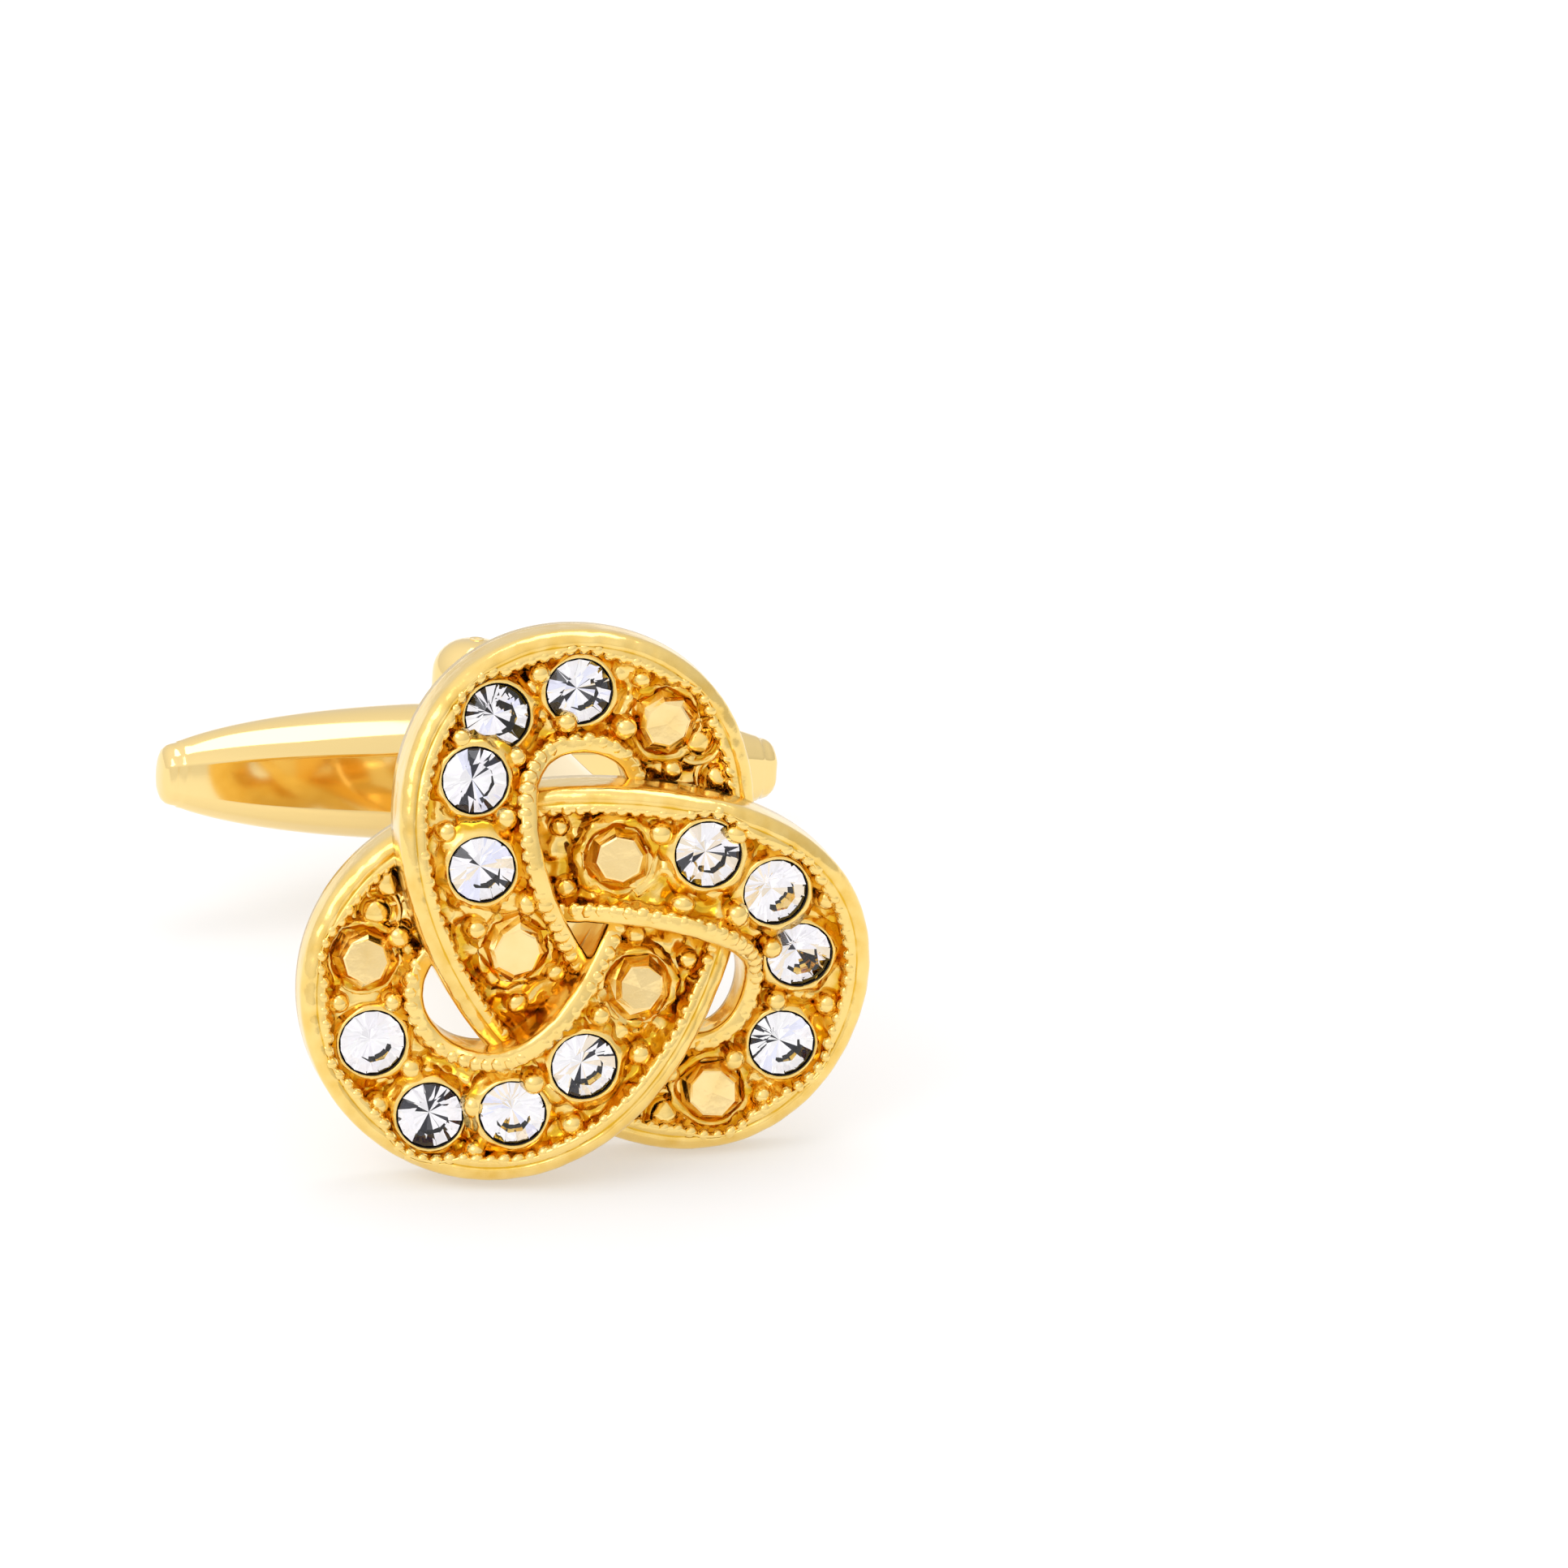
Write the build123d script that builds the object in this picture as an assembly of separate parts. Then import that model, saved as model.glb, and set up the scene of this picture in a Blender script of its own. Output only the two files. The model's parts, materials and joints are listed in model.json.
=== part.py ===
from build123d import *
import os
from math import cos, pi, radians, sin, sqrt

# Knot cufflink, in millimetres.
# The front is a ribbon tied as a three-lobed knot, cast in one piece with its
# raised edges, stone settings and imitation stones. Two arms soldered to the
# back hold a swivelling toggle on a pin.
# It is modelled upright, with the face towards +Z, one lobe up along +Y and
# the fork behind the face. It is then laid down as it rests on a table, on
# its two lower lobes and the end of its lower arm, with the face towards -Y.

# Ribbon path: three turning arms added together, which close after two turns
LOBES = 3
MAIN_RADIUS = 5.10
LOOP_RADIUS = 2.41
LOBE_FLATTENING = 0.24

# Height of the ribbon's edges as it weaves over and under
WEAVE_MIDDLE = 0.25
WEAVE_TIP_DROP = 0.50
WEAVE_SWING_HEIGHT = 0.80
WEAVE_STEEPNESS = 0.40
INNER_EDGE_RISE = 0.30

# Ribbon section
RIBBON_HALF_WIDTH = 1.98
RIBBON_WIDENING = 0.12
RIBBON_THICKNESS = 1.45
CROSSING_THICKENING = 0.75
RIM_HEIGHT = 0.72
RIM_CREST = 0.34
OUTER_SHOULDER = 0.42
INNER_SHOULDER = 0.20
RIM_DRAFT = 0.10
SECTION_STEP = 10

# Cut stones
STONE_DIAMETER = 2.0
STONE_TABLE = 1.12
CROWN_HEIGHT = 0.30
GIRDLE_HEIGHT = 0.06
PAVILION_DEPTH = 0.60
CULET = 0.12
STONE_GAP = 0.03
COLLAR_WALL = 0.22
COLLAR_HEIGHT = 0.28
COLLAR_ROOT = 0.55
SETTING_LEVELLING = 0.65
FACETS = 8

# Cast imitation stones
BOSS_DIAMETER = 1.90
BOSS_TOP_DIAMETER = 1.25
BOSS_RISE = 0.34
BOSS_SOCKET_DEPTH = 0.20

# Places along each lobe: path angle from the lobe's tip, and the distance
# outwards as a share of the ribbon's half width
STONE_PLACES = {
    "a": [(-1.5, -0.02), (16.0, 0.10), (28.5, -0.05), (43.0, -0.12)],
    "b": [(-3.5, 0.00), (14.7, 0.20), (29.5, 0.00), (43.5, -0.12)],
    "c": [(-4.0, 0.05), (16.0, -0.10), (31.7, 0.08), (44.2, 0.19)],
}
BOSS_PLACES = {
    "a": [(-21.0, 0.03), (56.0, -0.17)],
    "b": [(-21.0, 0.02), (56.5, -0.14)],
    "c": [(-21.0, 0.05), (55.5, -0.05)],
}

# Fork, soldered to the knot's back
PIVOT_BEHIND_FACE = 21.9
ARM_GAP = 4.74
ARM_THICKNESS = 0.98
ARM_WIDTH = 2.15
ARM_EDGE_RADIUS = 0.50
ARM_SECTIONS = 5
HEAD_DIAMETER = 2.40
HEAD_BULGE = 0.22
HEAD_ROUNDING = 0.5
TOP_HEAD_DIAMETER = 2.70
TOP_HEAD_BULGE = 1.00
TOP_HEAD_ROUNDING = 1.1
SLOT_DEPTH = 13.5
SLOT_ARCH = 4.5
ROOT_SPREAD_HEIGHT = 0.35
ROOT_WIDTH = 3.4
PAD_DIAMETER = 7.4
PAD_FRONT = -1.1
PAD_BACK = -2.3
PIN_LEAN = 5.9

# Toggle and pin
PIN_DIAMETER = 1.2
PIN_CLEARANCE = 0.04
PIN_SEAT_GAP = 0.02
PIN_RECESS = 0.05
TOGGLE_LENGTH = 20.6
TOGGLE_HEIGHT = 4.50
TOGGLE_THICKNESS = 3.5
TOGGLE_SWIVEL = 9.0
TOGGLE_TAPER_LENGTH = 22.0
TOGGLE_CAP_DIAMETER = 1.75
TOGGLE_CAP_LENGTH = 0.7
TOGGLE_CAP_ROUNDING = 0.3
NECK_DEPTH = 0.10
NECK_CLEARANCE = 0.30

# Toggle section, as shares of half its height and half its thickness
TOGGLE_CORNERS = [
    (0.47, 1.00),
    (0.72, 0.76),
    (0.95, 0.32),
    (1.00, -0.20),
    (0.80, -0.72),
    (0.30, -1.00),
]

# Places of the toggle's sections, as shares of its half length
TOGGLE_STATIONS = [0.15, 0.45, 0.72, 0.9, 1]

LOBE_ANGLE = 360 / LOBES
OVER_ANGLE = LOBE_ANGLE * 3 / 8


def path_point(angle):
    """Middle of the ribbon at a path angle, measured from a lobe's tip."""
    turn = radians(angle)
    main = MAIN_RADIUS * Vector(cos(2 * turn), sin(2 * turn))
    loop = LOOP_RADIUS * Vector(cos(turn), -sin(turn))
    flat = LOBE_FLATTENING * Vector(cos(4 * turn), -sin(4 * turn))
    across = main + loop - flat
    return Vector(-across.Y, across.X)


def outward(angle):
    """Unit direction from the ribbon's middle to its outer edge."""
    ahead = path_point(angle + 0.05) - path_point(angle - 0.05)
    ahead = ahead.normalized()
    return Vector(ahead.Y, -ahead.X)


def edge_height(angle):
    """Height of the ribbon's edges as it weaves."""
    turn = radians(LOBES * angle)
    swing = WEAVE_SWING_HEIGHT * sin(turn) - WEAVE_STEEPNESS * sin(2 * turn)
    return WEAVE_MIDDLE - WEAVE_TIP_DROP * cos(turn) + swing


def crossing_share(angle):
    """0 where the ribbon runs low, 1 where it crosses over."""
    return (1 + cos(radians(LOBES * (angle - OVER_ANGLE)))) / 2


def inner_rise(angle):
    """How far the inner edge stands above the outer one."""
    return INNER_EDGE_RISE * (1 - cos(radians(LOBES * angle))) / 2


def half_width(angle):
    return RIBBON_HALF_WIDTH + RIBBON_WIDENING * (2 * crossing_share(angle) - 1)


def ribbon_profile(angle):
    """Corners of the ribbon's section: distance outwards, height."""
    side = half_width(angle)
    outer = edge_height(angle) - inner_rise(angle) / 2
    inner = edge_height(angle) + inner_rise(angle) / 2
    bottom = edge_height(angle) - RIBBON_THICKNESS - CROSSING_THICKENING * crossing_share(angle)
    outer_crest = side - OUTER_SHOULDER
    outer_foot = outer_crest - RIM_CREST - RIM_DRAFT
    inner_crest = side - INNER_SHOULDER
    inner_foot = inner_crest - RIM_CREST - RIM_DRAFT
    return [
        (side, bottom),
        (side, outer - OUTER_SHOULDER),
        (outer_crest, outer),
        (outer_crest - RIM_CREST, outer),
        (outer_foot, outer - RIM_HEIGHT),
        (-inner_foot, inner - RIM_HEIGHT),
        (-inner_crest + RIM_CREST, inner),
        (-inner_crest, inner),
        (-side, inner - INNER_SHOULDER),
        (-side, bottom),
    ]


def ribbon_section(angle):
    middle = path_point(angle)
    across = outward(angle)
    corners = [middle + across * u + Vector(0, 0, v) for u, v in ribbon_profile(angle)]
    return Wire.make_polygon(corners, close=True)


def ribbon_lobe():
    """One third of the ribbon, from crossing under to crossing under."""
    count = round(LOBE_ANGLE / SECTION_STEP)
    sections = [ribbon_section(LOBE_ANGLE * i / count - OVER_ANGLE) for i in range(count + 1)]
    return Solid.make_loft(sections)


def floor_plane(angle, out_share):
    """Plane on the ribbon's floor, turned most of the way level."""
    out = out_share * half_width(angle)

    def floor_point(at, u):
        profile = ribbon_profile(at)
        (u_out, z_out), (u_in, z_in) = profile[4], profile[5]
        share = (u - u_in) / (u_out - u_in)
        spot = path_point(at) + outward(at) * u
        return spot + Vector(0, 0, z_in + (z_out - z_in) * share)

    here = floor_point(angle, out)
    along = floor_point(angle + 0.5, out) - floor_point(angle - 0.5, out)
    across = floor_point(angle, out + 0.1) - floor_point(angle, out - 0.1)
    square = across.cross(along).normalized()
    facing = square + (Vector(0, 0, 1) - square) * SETTING_LEVELLING
    return Plane(origin=here, x_dir=along.cross(facing).cross(facing) * -1, z_dir=facing)


def cylinder_on(plane, radius, low, high):
    return Solid.make_cylinder(radius, high - low, plane.offset(low))


def frustum(sides, low_radius, high_radius, low, high, turn=0):
    """Faceted cone between two heights, given the radii of its flats."""
    def ring(radius, height):
        corner = radius / cos(pi / sides)
        angles = [radians(turn) + 2 * pi * i / sides for i in range(sides)]
        return Wire.make_polygon([(corner * cos(a), corner * sin(a), height) for a in angles])
    return Solid.make_loft([ring(low_radius, low), ring(high_radius, high)], ruled=True)


def cut_stone():
    """Round stone with a table, crown and pavilion facets, girdle top at 0."""
    radius = STONE_DIAMETER / 2
    table = STONE_TABLE / 2
    girdle = -GIRDLE_HEIGHT
    depth = girdle - PAVILION_DEPTH
    half_step = 180 / FACETS
    barrel = frustum(2 * FACETS, radius * cos(pi / 2 / FACETS), radius * cos(pi / 2 / FACETS),
                     depth, CROWN_HEIGHT)
    crown_run = (radius - table) / CROWN_HEIGHT
    crown = frustum(FACETS, radius - crown_run * depth, table, depth, CROWN_HEIGHT)
    star_table = table * 1.04
    star_run = (radius - star_table) / CROWN_HEIGHT
    star = frustum(FACETS, radius - star_run * depth, star_table, depth, CROWN_HEIGHT, half_step)
    culet = CULET / 2
    pavilion_run = (radius - culet) / PAVILION_DEPTH
    rise = CROWN_HEIGHT - depth
    pavilion = frustum(FACETS, culet, culet + pavilion_run * rise, depth, CROWN_HEIGHT)
    return barrel & crown & star & pavilion


def stone_plane(place):
    return floor_plane(*place).offset(COLLAR_HEIGHT)


def collar(place):
    """Raised round setting, rooted in the ribbon."""
    radius = STONE_DIAMETER / 2 + STONE_GAP + COLLAR_WALL
    return cylinder_on(stone_plane(place), radius, -COLLAR_HEIGHT - COLLAR_ROOT, 0)


def stone_seat(place):
    """Room for a stone and its gap, open to the front."""
    radius = STONE_DIAMETER / 2 + STONE_GAP
    ledge = -GIRDLE_HEIGHT - 2 * STONE_GAP
    bottom = -GIRDLE_HEIGHT - PAVILION_DEPTH - STONE_GAP
    plane = stone_plane(place)
    bore = cylinder_on(plane, radius, ledge, RIM_HEIGHT + CROWN_HEIGHT)
    cone = Solid.make_cone(CULET + 2 * STONE_GAP, radius, ledge - bottom, plane.offset(bottom))
    return bore.fuse(cone)


def boss_socket(place):
    radius = STONE_DIAMETER / 2
    plane = stone_plane(place)
    return cylinder_on(plane, radius, -BOSS_SOCKET_DEPTH, RIM_HEIGHT)


def boss(place):
    """Cast imitation of a cut stone, standing in its socket."""
    low = -BOSS_SOCKET_DEPTH - COLLAR_ROOT / 2
    run = (BOSS_DIAMETER - BOSS_TOP_DIAMETER) / 2
    foot = BOSS_DIAMETER / 2 * cos(pi / FACETS)
    shape = frustum(FACETS, foot, foot - run, low, BOSS_RISE)
    return stone_plane(place).location * shape


def fork_section(behind, width, height):
    """Outline square to the fork's length, its corners rounded in two steps."""
    corners = []
    for quarter in range(4):
        sign_x, sign_y = [(1, 1), (-1, 1), (-1, -1), (1, -1)][quarter]
        centre_x = sign_x * (width / 2 - ARM_EDGE_RADIUS)
        centre_y = sign_y * (height / 2 - ARM_EDGE_RADIUS)
        for step in range(3):
            turn = radians(90 * quarter + 45 * step)
            x = centre_x + ARM_EDGE_RADIUS * cos(turn)
            y = centre_y + ARM_EDGE_RADIUS * sin(turn)
            corners.append((x, y, -behind))
    return Wire.make_polygon(corners)


def arm_head(side, diameter, bulge, rounding):
    """Rounded end of the upper arm (side 1) or the lower one (side -1)."""
    inner = Plane(origin=(0, side * ARM_GAP / 2, -PIVOT_BEHIND_FACE), z_dir=(0, side, 0))
    head = Solid.make_cylinder(diameter / 2, ARM_THICKNESS + bulge, inner)
    rim = head.edges().group_by(Axis.Y)[-1 if side > 0 else 0]
    return head.fillet(rounding, rim)


def fork():
    """Pad and two arms, with the pin's axis along Y."""
    length = PIVOT_BEHIND_FACE + PAD_FRONT
    sections = []
    for i in range(ARM_SECTIONS):
        forward = i / (ARM_SECTIONS - 1)
        width = ARM_WIDTH + (ROOT_WIDTH - ARM_WIDTH) * forward ** 3
        height = ARM_GAP + 2 * ARM_THICKNESS + 2 * ROOT_SPREAD_HEIGHT * forward ** 1.5
        sections.append(fork_section(PIVOT_BEHIND_FACE - length * forward, width, height))
    arms = Solid.make_loft(sections)
    pad = cylinder_on(Plane.XY, PAD_DIAMETER / 2, PAD_BACK, PAD_FRONT)
    top = arm_head(1, TOP_HEAD_DIAMETER, TOP_HEAD_BULGE, TOP_HEAD_ROUNDING)
    bottom = arm_head(-1, HEAD_DIAMETER, HEAD_BULGE, HEAD_ROUNDING)
    body = arms.fuse(top, bottom, pad).cut(slot())
    return body.cut(pin_hole())


def pin_hole():
    """Hole for the pin, open below and closed inside the upper arm's end."""
    low = ARM_GAP / 2 + ARM_THICKNESS + 2 * HEAD_BULGE
    high = pin_reach() + PIN_SEAT_GAP
    start = Plane(origin=(0, -low, -PIVOT_BEHIND_FACE), z_dir=(0, 1, 0))
    return Solid.make_cylinder(PIN_DIAMETER / 2 + PIN_SEAT_GAP, low + high, start)


def slot():
    """Gap between the arms, with an arched end."""
    end = PIVOT_BEHIND_FACE + 2 * HEAD_DIAMETER
    arch = -(PIVOT_BEHIND_FACE - SLOT_DEPTH + SLOT_ARCH)
    straight = Pos(0, (arch - end) / 2) * Rectangle(ARM_GAP, end + arch)
    outline = straight + Pos(0, arch) * Ellipse(ARM_GAP / 2, SLOT_ARCH)
    return extrude(Plane.YZ * outline, ROOT_WIDTH, both=True).solid()


def pin_cylinder(radius, length):
    """Cylinder on the pin's axis."""
    start = Plane(origin=(0, -length / 2, -PIVOT_BEHIND_FACE), z_dir=(0, 1, 0))
    return Solid.make_cylinder(radius, length, start)


def pin_reach():
    """Distance from the toggle's middle to each end of the pin."""
    return ARM_GAP / 2 + ARM_THICKNESS + HEAD_BULGE - PIN_RECESS


def swivel_pin():
    return pin_cylinder(PIN_DIAMETER / 2, 2 * pin_reach())


def toggle_section(along):
    """Outline at a distance along the toggle, narrower towards its ends."""
    share = sqrt(1 - (2 * along / TOGGLE_TAPER_LENGTH) ** 2)
    high = TOGGLE_HEIGHT / 2 * share
    thick = TOGGLE_THICKNESS / 2 * share
    right = [(along, high * u, thick * v) for u, v in TOGGLE_CORNERS]
    left = [(along, -high * u, thick * v) for u, v in reversed(TOGGLE_CORNERS)]
    return Wire.make_polygon(right + left)


def toggle():
    """Swivelling bar, crosswise along X, its flat side towards the face."""
    reach = TOGGLE_LENGTH / 2 - TOGGLE_CAP_LENGTH
    shares = [-share for share in reversed(TOGGLE_STATIONS)] + TOGGLE_STATIONS
    bar = Solid.make_loft([toggle_section(reach * share) for share in shares])
    for side in (1, -1):
        start = Plane(origin=(side * (reach - TOGGLE_CAP_LENGTH), 0, 0), z_dir=(side, 0, 0))
        cap = Solid.make_cylinder(TOGGLE_CAP_DIAMETER / 2, 2 * TOGGLE_CAP_LENGTH, start)
        rim = cap.edges().group_by(Axis.X)[-1 if side > 0 else 0]
        bar = bar.fuse(cap.fillet(TOGGLE_CAP_ROUNDING, rim))
    neck_radius = TOP_HEAD_DIAMETER / 2 + NECK_CLEARANCE
    neck = TOGGLE_HEIGHT / 2 - NECK_DEPTH
    for side in (1, -1):
        start = Plane(origin=(0, side * neck, 0), z_dir=(0, side, 0))
        bar = bar.cut(Solid.make_cylinder(neck_radius, ARM_GAP, start))
    bar = bar.rotate(Axis.Y, TOGGLE_SWIVEL).moved(Pos(0, 0, -PIVOT_BEHIND_FACE))
    return bar.cut(pin_cylinder(PIN_DIAMETER / 2 + PIN_CLEARANCE, 2 * TOGGLE_HEIGHT))


def lobe(letter):
    """One lobe of the cast front, with its settings and cast stones."""
    stones = STONE_PLACES[letter]
    bosses = BOSS_PLACES[letter]
    body = ribbon_lobe().fuse(*[collar(place) for place in stones + bosses])
    body = body.cut(*[stone_seat(place) for place in stones])
    body = body.cut(*[boss_socket(place) for place in bosses])
    return body.fuse(*[boss(place) for place in bosses])


def in_lobe(index, shape):
    """The shape, turned from the first lobe to another."""
    return shape.rotate(Axis.Z, LOBE_ANGLE * index)


def knot():
    """The cast front, in one solid."""
    first, *others = [in_lobe(i, lobe(letter)) for i, letter in enumerate(STONE_PLACES)]
    return first.fuse(*others)


def lean(shape):
    """Fork, pin and toggle are turned a little from the upper lobe's line."""
    return shape.rotate(Axis.Z, -PIN_LEAN)


def lobe_edges(turn):
    """Points of one lobe's outer edges, front and back."""
    points = []
    for step in range(-60, 61):
        angle = LOBE_ANGLE * step / 120
        for out, height in ribbon_profile(angle)[:2]:
            edge = path_point(angle) + outward(angle) * out + Vector(0, 0, height)
            points.append(edge.rotate(Axis.Z, turn))
    return points


def arm_end():
    """Points round the lower arm's rounded end."""
    reach = ARM_GAP / 2 + ARM_THICKNESS + HEAD_BULGE
    points = []
    for turn in range(0, 360, 15):
        for dip in range(0, 91, 15):
            radius = HEAD_DIAMETER / 2 - HEAD_ROUNDING * (1 - cos(radians(dip)))
            low = HEAD_ROUNDING * (1 - sin(radians(dip))) - reach
            across = radius * cos(radians(turn))
            behind = radius * sin(radians(turn)) - PIVOT_BEHIND_FACE
            points.append(Vector(across, low, behind).rotate(Axis.Z, -PIN_LEAN))
    return points


def resting_plane():
    """Plane of the table, found from the three places that touch it."""
    left = lobe_edges(LOBE_ANGLE)
    right = lobe_edges(-LOBE_ANGLE)
    end = arm_end()
    up = Vector(0, 1, 0)
    for _ in range(12):
        a, b, c = [min(points, key=lambda point: point.dot(up)) for points in (left, right, end)]
        up = (b - a).cross(c - a).normalized()
        if up.Y < 0:
            up = -up
    facing = Vector(0, 0, 1)
    return Plane(origin=a, x_dir=up.cross(facing), z_dir=up)


def cufflink():
    """Every piece by name, in the model's upright frame."""
    pieces = {"knot_and_fork": knot().fuse(lean(fork()))}
    stone = cut_stone()
    for i, letter in enumerate(STONE_PLACES):
        for number, place in enumerate(STONE_PLACES[letter], start=1):
            pieces[f"stone_{letter}{number}"] = in_lobe(i, stone_plane(place).location * stone)
    pieces["toggle"] = lean(toggle())
    pieces["swivel_pin"] = lean(swivel_pin())
    return pieces


os.makedirs("parts", exist_ok=True)
lay_down = resting_plane().location.inverse()
laid = {name: lay_down * piece for name, piece in cufflink().items()}
box = Compound(list(laid.values())).bounding_box()
to_origin = Pos(-box.center().X, -box.center().Y, -box.min.Z)
for name, piece in laid.items():
    export_step(to_origin * piece, f"parts/{name}.step")
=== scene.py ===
import json
from math import cos, pi, radians, sin, sqrt

import bmesh
import bpy
import numpy as np
from mathutils import Matrix, Vector


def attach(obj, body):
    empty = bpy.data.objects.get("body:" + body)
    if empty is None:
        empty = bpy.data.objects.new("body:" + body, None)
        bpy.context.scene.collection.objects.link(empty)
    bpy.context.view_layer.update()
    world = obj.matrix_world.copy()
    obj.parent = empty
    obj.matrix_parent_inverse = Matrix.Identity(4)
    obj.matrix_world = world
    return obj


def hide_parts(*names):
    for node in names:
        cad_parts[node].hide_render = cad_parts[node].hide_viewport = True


# Knot cufflink: the finish of the cast knot, its stones, the fork and the toggle.
# Shapes are worked out in millimetres with the cufflink upright, its face towards
# +Z and one lobe up along +Y. They are then laid down where the frame has the
# pivot of the toggle, its axis and the direction that the face looks in.

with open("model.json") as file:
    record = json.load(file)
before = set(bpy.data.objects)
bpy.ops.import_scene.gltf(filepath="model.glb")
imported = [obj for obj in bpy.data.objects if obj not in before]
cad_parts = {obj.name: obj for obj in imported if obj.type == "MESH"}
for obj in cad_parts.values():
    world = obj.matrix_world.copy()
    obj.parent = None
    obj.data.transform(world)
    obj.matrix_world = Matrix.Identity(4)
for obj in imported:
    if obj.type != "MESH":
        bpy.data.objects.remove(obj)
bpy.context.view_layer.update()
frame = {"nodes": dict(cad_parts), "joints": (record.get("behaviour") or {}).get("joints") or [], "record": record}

MM = 0.001
MERGE_DISTANCE = 1e-7

# Ribbon path: three turning arms added together
LOBES = 3
LOBE_ANGLE = 360 / LOBES
MAIN_RADIUS = 5.10
LOOP_RADIUS = 2.41
LOBE_FLATTENING = 0.24

# Steps over which directions are taken: along the path and the floor in degrees,
# and across the floor in millimetres
PATH_STEP = 0.05
FLOOR_STEP = 0.5
ACROSS_STEP = 0.1

# Height of the ribbon's edges as it weaves over and under
WEAVE_MIDDLE = 0.25
WEAVE_TIP_DROP = 0.50
WEAVE_SWING_HEIGHT = 0.80
WEAVE_STEEPNESS = 0.40
INNER_EDGE_RISE = 0.30
OVER_ANGLE = LOBE_ANGLE * 3 / 8

# Ribbon section
RIBBON_HALF_WIDTH = 1.98
RIBBON_WIDENING = 0.12
RIBBON_THICKNESS = 1.45
CROSSING_THICKENING = 0.75
RIM_HEIGHT = 0.72
RIM_CREST = 0.34
OUTER_SHOULDER = 0.42
INNER_SHOULDER = 0.20
RIM_DRAFT = 0.10
CREST_ROUNDING = 0.10
GROOVE_WIDTH = 0.08
GROOVE_DEPTH = 0.08
BOTTOM_CHAMFER = 0.08
FLOOR_FILLET = 0.14
SECTIONS_PER_LOBE = 300
SECTION_ANGLES = np.arange(LOBES * SECTIONS_PER_LOBE) * 360 / (LOBES * SECTIONS_PER_LOBE)

# Crown of the ribbon's floor: its height, the share of it that lies below the plain
# floor, and the painted shade values of the floor and of its edges
FLOOR_CROWN = 0.16
FLOOR_CROWN_SINK = 0.4
FLOOR_SHADE = 0.3
FLOOR_EDGE_SHADE = 0.5
FLOOR_EDGE_SHARE = 0.7

# Cut stones and their settings
STONE_DIAMETER = 2.0
STONE_TABLE = 1.10
STAR_SPREAD = 0.98
STAR_HEIGHT = 0.52
CROWN_HEIGHT = 0.30
GIRDLE_HEIGHT = 0.04
PAVILION_DEPTH = 0.85
FACETS = 8
GOLDEN_ANGLE = 137.5
TONE_SEED = 11
STONE_GAP = 0.03
STONE_EASING = 0.02
STONE_BORE = STONE_DIAMETER / 2 + STONE_GAP
COLLAR_WALL = 0.15
COLLAR_HEIGHT = 0.28
COLLAR_LIP = 0.10
COLLAR_SIDES = 56
COLLAR_RIM = STONE_BORE + COLLAR_WALL
SETTING_LEVELLING = 0.65
SEAT_PIT_DEPTH = 0.67
SEAT_WALL = 0.012
SEAT_EASING = 0.004
SEAT_SIDES = 40

# Cast imitation stones
BOSS_DIAMETER = 1.90
BOSS_TOP_DIAMETER = 1.25
BOSS_FOOT_FLARE = 0.07
BOSS_TOP_FLARE = 0.08
BOSS_RISE = 0.34
BOSS_TURN = 11
BOSS_SIZE = 0.97
BOSS_VARIATION = 0.03
BOSS_SOCKET_DEPTH = 0.20

# Room that the settings make for themselves in the ribbon, and how far from them
# the rough skin comes back
PIT_RADIUS = STONE_BORE + 0.05
BULGE_RADIUS = 1.45
RIM_ABOVE_FLOOR = 0.16
ROOM_BELOW = 0.55
ROOM_ABOVE = 1.2
SETTING_REACH = 1.5
FAR_AWAY = 99.0
SKIN_FADE = 0.25

# Places along each lobe: path angle from the lobe's tip, and the distance
# outwards as a share of the ribbon's half width
LOBE_START = {"a": 0, "b": 2 * LOBE_ANGLE, "c": LOBE_ANGLE}
STONE_PLACES = {
    "a": [(-1.5, -0.02), (16.0, 0.10), (28.5, -0.05), (43.0, -0.12)],
    "b": [(-3.5, 0.00), (14.7, 0.20), (29.5, 0.00), (43.5, -0.12)],
    "c": [(-4.0, 0.05), (16.0, -0.10), (31.7, 0.08), (44.2, 0.19)],
}
BOSS_PLACES = {
    "a": [(-21.0, 0.03), (56.0, -0.17)],
    "b": [(-21.0, 0.02), (56.5, -0.14)],
    "c": [(-21.0, 0.05), (55.5, -0.05)],
}
BEAD_PLACES = {
    "a": [(-31.0, -0.23), (-12.5, 0.39), (-14.0, -0.45), (5.5, 0.37), (2.0, -0.49), (23.0, 0.37),
          (20.5, -0.51), (37.0, 0.31), (35.0, -0.57), (51.0, 0.21), (50.5, -0.60), (63.0, 0.23),
          (62.4, -0.50)],
    "b": [(-28.5, -0.31), (-12.5, 0.37), (-11.5, -0.51), (6.5, 0.53), (6.5, -0.25), (23.0, 0.57),
          (22.5, -0.15), (37.0, 0.51), (35.5, -0.37), (49.5, 0.43), (50.5, -0.43), (62.0, 0.41),
          (62.4, -0.50)],
    "c": [(-29.5, -0.25), (-13.0, 0.51), (-14.0, -0.33), (5.8, 0.46), (4.0, -0.36), (24.0, 0.59),
          (22.0, -0.50), (41.5, 0.59), (36.0, -0.50), (50.5, 0.35), (46.0, -0.61), (62.4, 0.38),
          (62.4, -0.52)],
}
STUD_PLACES = {
    "a": [(-28.0, 0.33), (-34.5, 0.47)],
    "b": [(-34.0, 0.41), (-29.5, 0.20)],
    "c": [(-29.0, 0.45)],
}

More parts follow.
